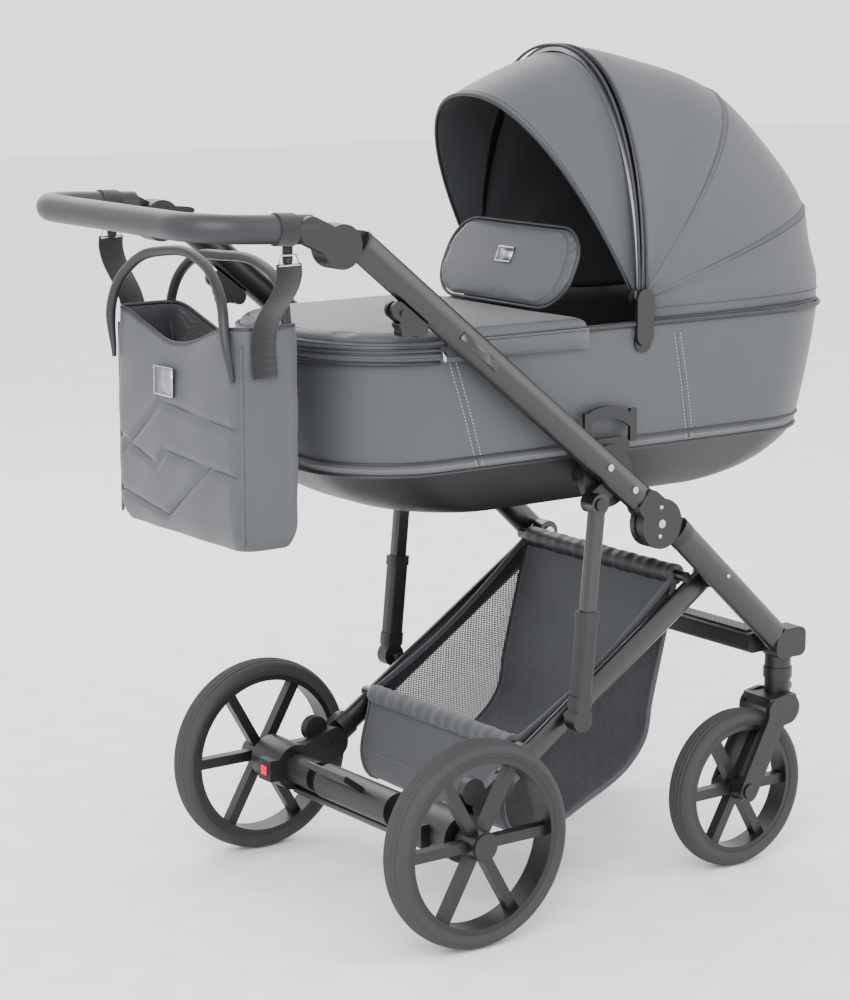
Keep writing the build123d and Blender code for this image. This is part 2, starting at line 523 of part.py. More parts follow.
def ring_sweep(radius, half, wide, thick, angle):
    """A flat bow: an elliptical ring, half kept, wide along its own axis."""
    plane = Plane(origin=(HOOD_X, 0, HOOD_Z), x_dir=(0, 1, 0),
                  z_dir=(math.sin(math.radians(angle)), 0, -math.cos(math.radians(angle))))
    ring = Ellipse(half, radius) - Ellipse(half - thick, radius - thick)
    keep = Pos(0, radius) * Rectangle(4 * half, 2 * radius)
    return extrude(plane * (ring & keep), wide / 2, both=True)


def hood_bow():
    body = ring_sweep(HOOD_TOP_R - 1, HOOD_HALF - 1, BOW_W, 5, 90)
    for side in (-1, 1):
        y0, y1 = sorted((side * (HOOD_HALF - 11), side * (HOOD_HALF - 4)))
        body += disc(HOOD_X, HOOD_Z, 14, y0, y1)
    return body - disc(HOOD_X, HOOD_Z, 4 + RUN, -COT_HALF - 20, COT_HALF + 20)


def hood_pivot():
    """Pin and bracket on the carrycot's rim that carry the hood's bow."""
    y0 = -COT_HALF - 2
    post = capsule((HOOD_X, HOOD_Z), (HOOD_X, COT_RIM_Z - 16), 30, y0 - 5, y0)
    pad = capsule((HOOD_X, COT_RIM_Z - 26), (HOOD_X, COT_RIM_Z - 20), 30, y0, -COT_HALF + COT_WALL / 2)
    pin = disc(HOOD_X, HOOD_Z, 4, y0, -HOOD_HALF + 16)
    return post + (pad - cot_body()) + pin


def visor():
    """Sun visor: a wedge of a smaller hollow ellipsoid, just inside the bow."""
    outer = ellipsoid(VISOR_X_R, VISOR_HALF, VISOR_TOP_R)
    shell = outer - ellipsoid(VISOR_X_R - VISOR_T, VISOR_HALF - VISOR_T, VISOR_TOP_R - VISOR_T)
    far = 2 * HOOD_TOP_R
    corners = [(HOOD_X, HOOD_Z)]
    for angle in (VISOR_FROM, VISOR_FROM + VISOR_ANGLE):
        turn = math.radians(90 + angle)
        corners.append((HOOD_X + far * math.cos(turn), HOOD_Z + far * math.sin(turn)))
    wedge = extrude(side_plane(COT_HALF) * make_face(Polyline(*corners, close=True)), 2 * COT_HALF)
    body = shell & wedge
    for side in (-1, 1):
        y0, y1 = sorted((side * (VISOR_HALF - 9), side * VISOR_HALF))
        ear = disc(HOOD_X, HOOD_Z, 12, y0, y1)
        ear += capsule((HOOD_X, HOOD_Z), (HOOD_X - 12, HOOD_Z + 26), 16, y0, y1)
        body += ear & (outer - disc(HOOD_X, HOOD_Z, 1, -1, 1))
    return body - disc(HOOD_X, HOOD_Z, 4 + RUN, -COT_HALF, COT_HALF)


FLAP_X, FLAP_H, FLAP_T, FLAP_LEAN, FLAP_HALF, FLAP_CORNER = 232.0, 122.0, 12.0, 26.0, 150.0, 52.0
FLAP_Z = COT_RIM_Z + APRON_RISE + FLAP_T / 2 + GAP        # the flap turns on its rounded lower edge


def wind_flap():
    edge = FLAP_HALF - FLAP_CORNER
    slab = extrude(Rectangle(FLAP_T, 2 * FLAP_HALF), FLAP_H)
    corners = Pos(0, 0, FLAP_H / 2) * Rot(0, 90, 0)
    corners = corners * extrude(RectangleRounded(FLAP_H, 2 * FLAP_HALF, FLAP_CORNER), 40, both=True)
    hem = Rot(90, 0, 0) * Cylinder(FLAP_T / 2, 2 * edge)
    return Pos(FLAP_X, 0, FLAP_Z) * Rot(0, FLAP_LEAN, 0) * ((slab & corners) + hem)


# ---- basket -----------------------------------------------------------------------
REAR_BAR_X, REAR_BAR_Z = 140.0, 236.0
FRONT_BAR_X, FRONT_BAR_Z = 436.0, 442.0


def basket_outline(inset):
    """Side outline of the basket; the inner one is open along the top."""
    low = inset
    points = [
        (REAR_BAR_X - 4 + low, REAR_BAR_Z),
        (REAR_BAR_X - 12 + low, 116 + low),
        (164, 100 + low),
        (268, 130 + low),
        (374 - low, 196),
        (390 - low, 262),
        (FRONT_BAR_X - low - 2, FRONT_BAR_Z - 4),
    ]
    if inset:
        points += [(FRONT_BAR_X - low - 2, FRONT_BAR_Z + 60), (REAR_BAR_X - 4 + low, FRONT_BAR_Z + 60)]
    return make_face(Polyline(*points, close=True))


def basket():
    outer = extrude(side_plane(BASKET_HALF) * basket_outline(0), 2 * BASKET_HALF)
    inner_half = BASKET_HALF - BASKET_T
    body = outer - extrude(side_plane(inner_half) * basket_outline(BASKET_T), 2 * inner_half)
    bars = ((REAR_BAR_X, REAR_BAR_Z), (FRONT_BAR_X, FRONT_BAR_Z))
    for x, z in bars:
        body += disc(x, z, HEM_R, -BASKET_HALF, BASKET_HALF)
    for x, z in bars:
        body -= disc(x, z, BAR_R + SLIDE_GAP, -LEG_Y - 10, LEG_Y + 10)
    return body


def basket_bar(x, z):
    """Bar across the basket; its ends are notched over the rear legs that carry it."""
    body = disc(x, z, BAR_R, -LEG_Y - 4, LEG_Y + 4)
    return body - rear_leg() - mirrored(rear_leg())


# ---- bag --------------------------------------------------------------------------
def bag_body():
    base = loft_outline(BAG_X0 + 4, BAG_X1 - 4, BAG_HALF - 4, 22, BAG_Z0)
    top = loft_outline(BAG_X0 + 10, BAG_X1, BAG_HALF, 26, BAG_Z1)
    shell = loft([base, top])
    inner = loft([loft_outline(BAG_X0 + 4 + BAG_T, BAG_X1 - 4 - BAG_T, BAG_HALF - 4 - BAG_T, 18, BAG_Z0 + BAG_T),
                  loft_outline(BAG_X0 + 10 + BAG_T, BAG_X1 - BAG_T, BAG_HALF - BAG_T, 22, BAG_Z1 + 1)])
    scoop = Pos((BAG_X0 + BAG_X1) / 2, 0, BAG_Z1 + 96) * Rot(0, 90, 0) * Cylinder(150, 300)
    return shell - inner - scoop


HANG_Z = SLEEVE_Z - GRIP_R - 20


def bag_hanger():
    """Webbing band round the handle with the tab and pin that the bag's strap turns on."""
    arm = Vector(GRIP_X - SLEEVE_X, 0, GRIP_Z - SLEEVE_Z).normalized()
    at = Vector(STRAP_X, -TUBE_Y, SLEEVE_Z + (SLEEVE_X - STRAP_X) * -arm.Z / arm.X)
    band = bar(along(at, arm, -7), along(at, arm, 19), GRIP_R + 2.5)
    tab = capsule((STRAP_X, HANG_Z), (STRAP_X, SLEEVE_Z - GRIP_R - 1.5), 14, -TUBE_Y - 1.5, -TUBE_Y + 1.5)
    pin = disc(STRAP_X, HANG_Z, 3, -TUBE_Y - 6, -TUBE_Y)
    handle_room = bar(along(at, arm, -9), along(at, arm, 21), GRIP_R + SLIDE_GAP)
    return band + tab - handle_room + pin


def bag_strap():
    """Webbing strap from the bag's side up to the pin under the handle."""
    y = -BAG_HALF - STRAP_T / 2
    outer = -TUBE_Y - 1.5 - GAP
    low = Pos(STRAP_X, y, BAG_Z1 - 30) * Box(STRAP_W, STRAP_T, 70)
    start, stop = Vector(STRAP_X, y, BAG_Z1), Vector(STRAP_X, outer - STRAP_T / 2, HANG_Z - 18)
    line = stop - start
    plane = Plane(origin=start, x_dir=(1, 0, 0), z_dir=line.normalized())
    slope = extrude(plane * Rectangle(STRAP_W, STRAP_T), line.length)
    end = capsule((STRAP_X, HANG_Z), (STRAP_X, HANG_Z - 20), 30, outer - STRAP_T, outer)
    return low + slope + end - disc(STRAP_X, HANG_Z, 3 + RUN, -TUBE_Y - 20, -TUBE_Y)


def rivet_row(xs, at, proud):
    """Domed rivet heads on the outer side of a tube."""
    heads = []
    for x in xs:
        centre = at(x)
        heads.append(disc(centre.X, centre.Z, 5, -TUBE_Y - TUBE_WIDE / 2 - proud, -TUBE_Y - TUBE_WIDE / 2))
    return heads


def both_sides(shapes):
    return Compound(children=[s for shape in shapes for s in (shape, mirrored(shape))])


def build():
    nodes = {
        "front_tubes": pair(front_tube()),
        "fold_joint_bases": pair(fold_joint_base()),
        "front_knuckles": pair(front_knuckle()),
        "footrest_bar": footrest_bar(),
        "footrest_pad": footrest_pad(),
        "leg_pivot_pins": pair(leg_pivot_pin()),
        "handle_tube_right": handle_tube(),
        "fold_joint_covers": pair(fold_joint_cover()),
        "elbow_bases": pair(elbow_base()),
        "seat_brackets": pair(seat_bracket()),
        "latch_mounts": pair(latch_mount()),
        "fold_joint_pins": pair(fold_joint_pin()),
        "handle_rivets": both_sides(rivet_row((255.0, 300.0), upper_at, 2.5)),
        "fold_latch_right": fold_latch(),
        "handle_grip": grip(),
        "handle_elbows": pair(handle_elbow()),
        "rear_leg_right": rear_leg(),
        "rear_knuckles": pair(rear_knuckle()),
        "basket": basket(),
        "basket_bars": Compound(children=[basket_bar(REAR_BAR_X, REAR_BAR_Z), basket_bar(FRONT_BAR_X, FRONT_BAR_Z)]),
        "axle_housing_right": rear_axle_housing(),
        "axle_tube": axle_tube(),
        "brake_rod": brake_rod(),
        "axle_shafts": pair(axle_shaft()),
        "brake_pedal": brake_pedal(),
        "wheel_release_right": wheel_release(),
        "strut_tubes": pair(strut_tube()),
        "strut_sleeves": pair(strut_sleeve()),
        "rear_tyre_right": tyre(0, REAR_Y, REAR_R, REAR_TYRE_W),
        "rear_rim_right": rear_rim(),
        "front_tyre_right": tyre(WHEELBASE, FRONT_Y, FRONT_R, FRONT_TYRE_W),
        "front_rim_right": rim(WHEELBASE, FRONT_Y, FRONT_R, FRONT_TYRE_W, 17, FRONT_TYRE_W / 2 + FORK_SIDE - GAP),
        "caster_fork_right": caster_fork(),
        "swivel_lock_right": swivel_lock(),
        "cot_body": cot_body(),
        "cot_base": cot_base(),
        "cot_mattress": mattress(),
        "cot_apron": apron(),
        "cot_adapters": pair(cot_adapter()),
        "adapter_release_right": adapter_release(),
        "hood_pivots": pair(hood_pivot()),
        "hood_rear": hood_rear(),
        "hood_bow": hood_bow(),
        "hood_visor": visor(),
        "wind_flap": wind_flap(),
        "bag_hangers": pair(bag_hanger()),
        "bag_body": bag_body(),
        "bag_straps": pair(bag_strap()),
    }
    for name in [n for n in nodes if n.endswith("_right")]:
        nodes[name[:-len("right")] + "left"] = mirrored(nodes[name])
    return nodes


def main():
    os.makedirs("parts", exist_ok=True)
    for name, shape in build().items():
        solids = [Pos(-X_ORIGIN, 0, 0) * solid for solid in shape.solids()]
        export_step(solids[0] if len(solids) == 1 else Compound(children=solids), f"parts/{name}.step")


if __name__ == "__main__":
    main()
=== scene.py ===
import json
import math

import bmesh
import bpy
import numpy as np
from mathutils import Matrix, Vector


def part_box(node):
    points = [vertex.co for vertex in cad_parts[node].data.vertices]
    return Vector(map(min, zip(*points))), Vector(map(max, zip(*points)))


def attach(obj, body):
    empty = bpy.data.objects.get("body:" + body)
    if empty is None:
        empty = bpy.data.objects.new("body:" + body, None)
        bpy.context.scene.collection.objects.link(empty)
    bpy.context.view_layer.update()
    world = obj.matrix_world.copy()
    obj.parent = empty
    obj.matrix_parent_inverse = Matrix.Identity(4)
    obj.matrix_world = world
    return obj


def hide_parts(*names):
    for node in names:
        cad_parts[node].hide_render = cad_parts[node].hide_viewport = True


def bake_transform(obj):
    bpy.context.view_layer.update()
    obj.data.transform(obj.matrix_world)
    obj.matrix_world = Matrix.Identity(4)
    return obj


bl_info = {
    "name": "Baby Stroller Looks",
    "version": (1, 0, 0),
    "blender": (4, 5, 0),
    "location": "View3D > Sidebar > Stroller",
    "description": "Fabric, trim and finishes of a folding pram with a carrycot",
    "category": "Object",
}

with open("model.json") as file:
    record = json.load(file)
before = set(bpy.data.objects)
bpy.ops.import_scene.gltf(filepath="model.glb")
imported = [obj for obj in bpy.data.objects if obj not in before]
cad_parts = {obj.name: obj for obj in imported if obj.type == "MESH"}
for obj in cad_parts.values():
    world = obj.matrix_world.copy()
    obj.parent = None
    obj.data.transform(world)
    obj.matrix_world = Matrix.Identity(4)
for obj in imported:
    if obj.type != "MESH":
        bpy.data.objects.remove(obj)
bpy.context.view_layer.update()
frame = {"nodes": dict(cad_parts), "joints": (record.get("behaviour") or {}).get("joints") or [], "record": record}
PIVOT = {j["name"]: Vector(j["pos_m"]) for j in frame["joints"] if "pos_m" in j}
MM = 0.001
WAVE_PERIOD = 0.314  # a wave texture of scale 1 repeats after a twentieth of a turn, 0.314 m
SIDES = (("right", -1), ("left", 1))


# ---- user's sizes and colours ------------------------------------------------
def length(name, description, default):
    return bpy.props.FloatProperty(name=name, description=description, default=default, unit="LENGTH")


def colour(name, description, default):
    return bpy.props.StringProperty(name=name, description=description, default=default)


class StrollerSizes(bpy.types.PropertyGroup):
    piping: length("Piping", "Radius of the piping along fabric edges", 0.0026)
    stitch: length("Stitch", "Length of one stitch", 0.0032)
    stitch_gap: length("Stitch pitch", "Distance from one stitch to the next", 0.0052)
    thread: length("Thread", "Radius of the sewing thread", 0.00055)
    webbing: length("Webbing", "Width of the bag's straps", 0.038)
    bag_bulge: length("Bag bulge", "How far the bag's faces belly out", 0.009)
    hood_sag: length("Hood sag", "How far the hood dips between its bows", 0.006)


class StrollerColours(bpy.types.PropertyGroup):
    leatherette: colour("Leatherette", "Grey coated cloth", "#3f4145")
    lining: colour("Lining", "Inside of the cot and bag", "#2b2c30")
    plastic: colour("Plastic", "Moulded nylon fittings", "#0b0c0d")
    tube: colour("Tubes", "Powder coat on the tubes", "#09090a")
    release: colour("Release buttons", "Wheel release buttons", "#d5123a")


# ---- mesh helpers --------------------------------------------------------------
def linear(code):
    """sRGB hex to linear RGBA."""
    parts = [int(code[i:i + 2], 16) / 255 for i in (1, 3, 5)]
    return [c / 12.92 if c <= 0.04045 else ((c + 0.055) / 1.055) ** 2.4 for c in parts] + [1.0]


def new_piece(name, points, faces, materials, face_material=None, smooth=True):
    mesh = bpy.data.meshes.new(name)
    mesh.from_pydata([tuple(p) for p in points], [], faces)
    for material in materials:
        mesh.materials.append(material)
    if face_material is not None:
        mesh.polygons.foreach_set("material_index", face_material)
    work = bmesh.new()
    work.from_mesh(mesh)
    bmesh.ops.remove_doubles(work, verts=work.verts, dist=2e-5)
    bmesh.ops.recalc_face_normals(work, faces=work.faces)
    work.to_mesh(mesh)
    work.free()
    if smooth:
        mesh.shade_smooth()
    obj = bpy.data.objects.new(name, mesh)
    bpy.context.scene.collection.objects.link(obj)
    return obj


def settle(obj):
    """Turns what the modifiers make into the piece's own mesh."""
    bpy.context.view_layer.update()
    graph = bpy.context.evaluated_depsgraph_get()
    mesh = bpy.data.meshes.new_from_object(obj.evaluated_get(graph))
    obj.modifiers.clear()
    obj.data = mesh
    return obj


def place(obj, body, slot, *nodes):
    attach(obj, body)
    if nodes:
        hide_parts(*nodes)
    return obj


def between(obj, still, moving, start, end, slot, *nodes):
    """Cloth that joins two bodies: its placement is baked into its mesh and the parts it replaces are hidden;
    still, moving, start and end are not used.
    """
    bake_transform(obj)
    if nodes:
        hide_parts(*nodes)
    return obj


def merge(name, objects):
    """Joins several meshes into one piece."""
    work = bmesh.new()
    materials = []
    for obj in objects:
        start = len(work.faces)
        work.from_mesh(obj.data)
        work.faces.ensure_lookup_table()
        slots = []
        for material in obj.data.materials:
            if material not in materials:
                materials.append(material)
            slots.append(materials.index(material))
        for face in work.faces[start:]:
            face.material_index = slots[face.material_index]
    mesh = bpy.data.meshes.new(name)
    work.to_mesh(mesh)
    work.free()
    for material in materials:
        mesh.materials.append(material)
    for obj in objects:
        bpy.data.objects.remove(obj)
    result = bpy.data.objects.new(name, mesh)
    bpy.context.scene.collection.objects.link(result)
    return result


def grid_faces(rows, columns, wrap_rows=False, wrap_columns=False):
    faces = []
    for r in range(rows if wrap_rows else rows - 1):
        for c in range(columns if wrap_columns else columns - 1):
            r2, c2 = (r + 1) % rows, (c + 1) % columns
            faces.append((r * columns + c, r * columns + c2, r2 * columns + c2, r2 * columns + c))
    return faces


def circle(radius, count):
    turns = [2 * math.pi * k / count for k in range(count)]
    return [(radius * math.cos(t), radius * math.sin(t)) for t in turns]


def flat_section(wide, thick, corner=0.0008):
    """Section of webbing: wide, thin, with soft edges."""
    w, t, c = wide / 2, thick / 2, min(corner, thick / 2.2)
    return [(w, -t + c), (w, t - c), (w - c, t), (-w + c, t), (-w, t - c), (-w, -t + c), (-w + c, -t),
            (w - c, -t)]


def smooth_path(points, count, closed=False):
    """Evenly spaced points on a smooth curve through the given ones."""
    curve = bpy.data.curves.new("path", "CURVE")
    curve.dimensions = "3D"
    spline = curve.splines.new("BEZIER")
    spline.bezier_points.add(len(points) - 1)
    for knot, p in zip(spline.bezier_points, points):
        knot.co = p
        knot.handle_left_type = knot.handle_right_type = "AUTO"
    spline.use_cyclic_u = closed
    spline.resolution_u = 24
    holder = bpy.data.objects.new("path", curve)
    mesh = bpy.data.meshes.new_from_object(holder)
    line = [v.co.copy() for v in mesh.vertices]
    bpy.data.objects.remove(holder)
    bpy.data.curves.remove(curve)
    bpy.data.meshes.remove(mesh)
    return even(line + [line[0]] if closed else line, count)


def even(line, count):
    steps = np.array([(b - a).length for a, b in zip(line, line[1:])])
    reach = np.concatenate([[0], np.cumsum(steps)])
    wanted = np.linspace(0, reach[-1], count)
    flat = np.array([list(p) for p in line])
    return [Vector(p) for p in np.stack([np.interp(wanted, reach, flat[:, k]) for k in range(3)], 1)]


def sweep(name, path, section, material, side=None, closed=False, scale=None):
    """A section carried along a path; side fixes the section's first axis, scale(t) thins it."""
    path = [Vector(p) for p in path]
    if closed:
        path = path[:-1] if (path[0] - path[-1]).length < 1e-6 else path
    count = len(path)
    points, normal = [], None
    for k, p in enumerate(path):
        before, after = ((path[k - 1], path[(k + 1) % count]) if closed
                         else (path[max(k - 1, 0)], path[min(k + 1, count - 1)]))
        along = (after - before).normalized()
        if side is not None:
            normal = Vector(side) - along * along.dot(Vector(side))
        elif normal is None:
            normal = along.orthogonal()
        else:
            normal = normal - along * along.dot(normal)
        normal.normalize()
        other = along.cross(normal)
        size = scale(k / max(count - 1, 1)) if scale else 1.0
        points += [p + normal * a * size + other * b * size for a, b in section]
    ring = len(section)
    faces = grid_faces(count, ring, wrap_rows=closed, wrap_columns=True)
    if not closed:
        faces += [tuple(range(ring)), tuple(range((count - 1) * ring, count * ring))]
    return new_piece(name, points, faces, [material])


def lathe(name, profile, centre, material, steps=96):
    """A closed profile of (radius, offset along Y) turned about the Y axis through centre."""
    points = []
    for k in range(steps):
        turn = 2 * math.pi * k / steps
        points += [(centre[0] + r * math.cos(turn), centre[1] + y, centre[2] + r * math.sin(turn))
                   for r, y in profile]
    return new_piece(name, points, grid_faces(steps, len(profile), True, True), [material])


def rounded_outline(x0, x1, half, corner, arc=12, side=26, end=6):
    """Outline seen from above, from the middle of the front end round to the left."""
    corners = ((x1 - corner, half - corner, 0), (x0 + corner, half - corner, 90),
               (x0 + corner, corner - half, 180), (x1 - corner, corner - half, 270))
    points = []
    for k, (cx, cy, start) in enumerate(corners):
        for step in range(arc + 1):
            turn = math.radians(start + 90 * step / arc)
            points.append((cx + corner * math.cos(turn), cy + corner * math.sin(turn)))
        nx, ny, following = corners[(k + 1) % 4]
        turn = math.radians(following)
        target = (nx + corner * math.cos(turn), ny + corner * math.sin(turn))
        here, count = points[-1], side if k % 2 == 0 else end
        points += [(here[0] + (target[0] - here[0]) * s / count,
                    here[1] + (target[1] - here[1]) * s / count)
                   for s in range(1, count)]
    return points


# ---- repeated details by geometry nodes ------------------------------------------
def add(tree, kind, inputs=None, **settings):
    """Adds a node with its settings; an input is a value or a socket to link from."""
    made = tree.nodes.new(kind)
    for key, value in settings.items():
        setattr(made, key, value)
    for socket, value in (inputs or {}).items():
        if isinstance(value, bpy.types.NodeSocket):
            tree.links.new(value, made.inputs[socket])
        else:
            made.inputs[socket].default_value = value
    return made


def repeat_tree(name, material, along_path):
    """Small domed pieces set along a path, or on points that carry the direction they face."""
    tree = bpy.data.node_groups.new(name, "GeometryNodeTree")
    face = tree.interface
    face.new_socket("Geometry", in_out="INPUT", socket_type="NodeSocketGeometry")
    for title, value in (("Pitch", 0.005), ("Long", 0.003), ("Wide", 0.001), ("High", 0.001)):
        socket = face.new_socket(title, in_out="INPUT", socket_type="NodeSocketFloat")
        socket.default_value = value
    face.new_socket("Geometry", in_out="OUTPUT", socket_type="NodeSocketGeometry")
    source = add(tree, "NodeGroupInput").outputs
    size = add(tree, "ShaderNodeCombineXYZ",
               {"X": source["Wide"], "Y": source["High"], "Z": source["Long"]})
    bead = add(tree, "GeometryNodeMeshUVSphere", {"Segments": 8, "Rings": 5, "Radius": 0.5})
    sized = add(tree, "GeometryNodeTransform", {"Geometry": bead.outputs["Mesh"], "Scale": size.outputs[0]})
    if along_path:
        curve = add(tree, "GeometryNodeMeshToCurve", {"Mesh": source["Geometry"]})
        spaced = add(tree, "GeometryNodeResampleCurve",
                     {"Curve": curve.outputs[0], "Length": source["Pitch"]},
                     mode="LENGTH")
        where = spaced.outputs[0]
        direction = add(tree, "GeometryNodeInputTangent").outputs[0]
    else:
        where = source["Geometry"]
        direction = add(tree, "GeometryNodeInputNamedAttribute", {"Name": "facing"},
                        data_type="FLOAT_VECTOR").outputs["Attribute"]
    turned = add(tree, "FunctionNodeAlignRotationToVector", {"Vector": direction}, axis="Z")
    placed = add(tree, "GeometryNodeInstanceOnPoints",
                 {"Points": where, "Instance": sized.outputs[0], "Rotation": turned.outputs[0]})
    real = add(tree, "GeometryNodeRealizeInstances", {"Geometry": placed.outputs[0]})
    shaded = add(tree, "GeometryNodeSetShadeSmooth", {"Geometry": real.outputs[0]})
    coloured = add(tree, "GeometryNodeSetMaterial", {"Geometry": shaded.outputs[0], "Material": material})
    add(tree, "NodeGroupOutput", {"Geometry": coloured.outputs[0]})
    return tree


def grown(name, mesh, material, along_path, **sizes):
    """Runs the repeat tree on a mesh of points or lines and keeps the result as a plain piece."""
    obj = bpy.data.objects.new(name, mesh)
    bpy.context.scene.collection.objects.link(obj)
    modifier = obj.modifiers.new("repeat", "NODES")
    modifier.node_group = repeat_tree(name + "_tree", material, along_path)
    sockets = {s.name: s.identifier for s in modifier.node_group.interface.items_tree
               if s.in_out == "INPUT"}
    for title, value in sizes.items():
        modifier[sockets[title]] = value
    return settle(obj)


def stitches(name, paths, material, body, slot, blended=None):
    """Rows of stitches along the given lines, on one body, or baked in place when blended names a second one."""
    sizes = bpy.context.scene.stroller_sizes
    points, edges = [], []
    for path in paths:
        start = len(points)
        points += [tuple(p) for p in path]
        edges += [(start + k, start + k + 1) for k in range(len(path) - 1)]
    mesh = bpy.data.meshes.new(name)
    mesh.from_pydata(points, edges, [])
    thick = 2 * sizes.thread
    obj = grown(name, mesh, material, True, Pitch=sizes.stitch_gap, Long=sizes.stitch, Wide=thick,
                High=thick)
    return between(obj, body, *blended, slot) if blended else place(obj, body, slot)


def domes(name, spots, material, body, slot, wide, high):
    """Domed heads on (point, facing direction) spots."""
    mesh = bpy.data.meshes.new(name)
    mesh.from_pydata([tuple(p) for p, _ in spots], [], [])
    facing = mesh.attributes.new("facing", "FLOAT_VECTOR", "POINT")
    facing.data.foreach_set("vector", [c for _, d in spots for c in d])
    return place(grown(name, mesh, material, False, Long=high, Wide=wide, High=wide), body, slot)


# ---- finishes ------------------------------------------------------------------
LOOK = {}


def begin(name, inputs):
    """A material with the given values on its Principled shader, kept in LOOK by its name; returns its tree and
    the shader.
    """
    material = bpy.data.materials.new(name)
    material.use_nodes = True
    tree = material.node_tree
    shader = tree.nodes["Principled BSDF"]
    for socket, value in inputs.items():
        shader.inputs[socket].default_value = value
    LOOK[name] = material
    return tree, shader


def mottled(tree, shader, low, high, scale, rough):
    """Slow colour and roughness variation over the surface; returns its coordinates."""
    place_on = add(tree, "ShaderNodeTexCoord").outputs["Object"]
    cloud = add(tree, "ShaderNodeTexNoise",
                {"Vector": place_on, "Scale": scale, "Detail": 4.0}).outputs["Fac"]
    ramp = add(tree, "ShaderNodeMix", {"Factor": cloud, 6: linear(low), 7: linear(high)}, data_type="RGBA")
    tree.links.new(ramp.outputs[2], shader.inputs["Base Color"])
    spread = add(tree, "ShaderNodeMapRange", {"Value": cloud, "To Min": rough[0], "To Max": rough[1]})
    tree.links.new(spread.outputs[0], shader.inputs["Roughness"])
    return place_on, cloud


def bump(tree, shader, height, depth, strength=1.0):
    raised = add(tree, "ShaderNodeBump", {"Height": height, "Distance": depth, "Strength": strength})
    tree.links.new(raised.outputs[0], shader.inputs["Normal"])


def shade(code, factor):
    """A hex colour made lighter or darker."""
    parts = [min(255, max(0, round(int(code[i:i + 2], 16) * factor))) for i in (1, 3, 5)]
    return "#%02x%02x%02x" % tuple(parts)


def grained(name, code, grain_mm, rough, depth_mm, sheen=0.0):
    """Polyurethane leatherette: an embossed cell grain in a soft satin coat, drawn a little coarse."""
    tree, shader = begin(name, {"Sheen Weight": sheen, "Specular IOR Level": 0.42})
    at, cloud = mottled(tree, shader, shade(code, 0.94), shade(code, 1.06), 9.0, rough)
    cells = add(tree, "ShaderNodeTexVoronoi", {"Vector": at, "Scale": 1 / (grain_mm * MM)},
                feature="DISTANCE_TO_EDGE").outputs["Distance"]
    pores = add(tree, "ShaderNodeTexNoise", {"Vector": at, "Scale": 2.5 / (grain_mm * MM), "Detail": 2.0})
    height = add(tree, "ShaderNodeMath", {0: cells, 1: pores.outputs["Fac"]}, operation="ADD").outputs[0]
    creased = add(tree, "ShaderNodeMath", {0: cloud, 1: 6.0, 2: height},
                  operation="MULTIPLY_ADD").outputs[0]
    bump(tree, shader, creased, depth_mm * MM, 0.55)


def woven(name, code, thread_mm, rough, fleck=0.9):
    """Plain weave: crossing threads that catch the light in turn."""
    tree, shader = begin(name, {"Sheen Weight": 0.25, "Specular IOR Level": 0.25})
    at, _ = mottled(tree, shader, shade(code, fleck), shade(code, 2 - fleck),
                    900.0 if fleck < 0.8 else 30.0, rough)
    waves = [add(tree, "ShaderNodeTexWave",
                 {"Vector": at, "Scale": WAVE_PERIOD / (thread_mm * MM), "Distortion": 0.4},
                 bands_direction=axis).outputs["Fac"] for axis in ("X", "Y", "Z")]
    crossed = add(tree, "ShaderNodeMath", {0: waves[0], 1: waves[1]}, operation="MULTIPLY").outputs[0]
    height = add(tree, "ShaderNodeMath", {0: crossed, 1: waves[2]}, operation="ADD").outputs[0]
    bump(tree, shader, height, 0.25 * MM, 0.7)


def see_through(material, pitch_mm):
    """Opens the gaps between a net's threads."""
    tree = material.node_tree
    at = add(tree, "ShaderNodeTexCoord").outputs["Object"]
    # The 3 mm pitch is coarser than the real knit, whose holes are too fine to show.
    threads = [add(tree, "ShaderNodeTexWave", {"Vector": at, "Scale": WAVE_PERIOD / (pitch_mm * MM)},
                   bands_direction=axis).outputs["Fac"] for axis in ("X", "Z")]
    either = add(tree, "ShaderNodeMath", {0: threads[0], 1: threads[1]}, operation="MAXIMUM").outputs[0]
    thread = add(tree, "ShaderNodeMath", {0: either, 1: 0.72}, operation="GREATER_THAN").outputs[0]
    tree.links.new(thread, tree.nodes["Principled BSDF"].inputs["Alpha"])


def moulded(name, code, rough, texture_mm, metallic=0.0, depth_mm=0.05, coat=0.0):
    """Moulded or coated surface: fine even texture over the base colour."""
    tree, shader = begin(name, {"Metallic": metallic, "Coat Weight": coat, "Coat Roughness": 0.25})
    at, _ = mottled(tree, shader, shade(code, 0.9), shade(code, 1.12), 14.0, rough)
    fine = add(tree, "ShaderNodeTexNoise", {"Vector": at, "Scale": 1 / (texture_mm * MM), "Detail": 3.0})
    bump(tree, shader, fine.outputs["Fac"], depth_mm * MM, 0.5)


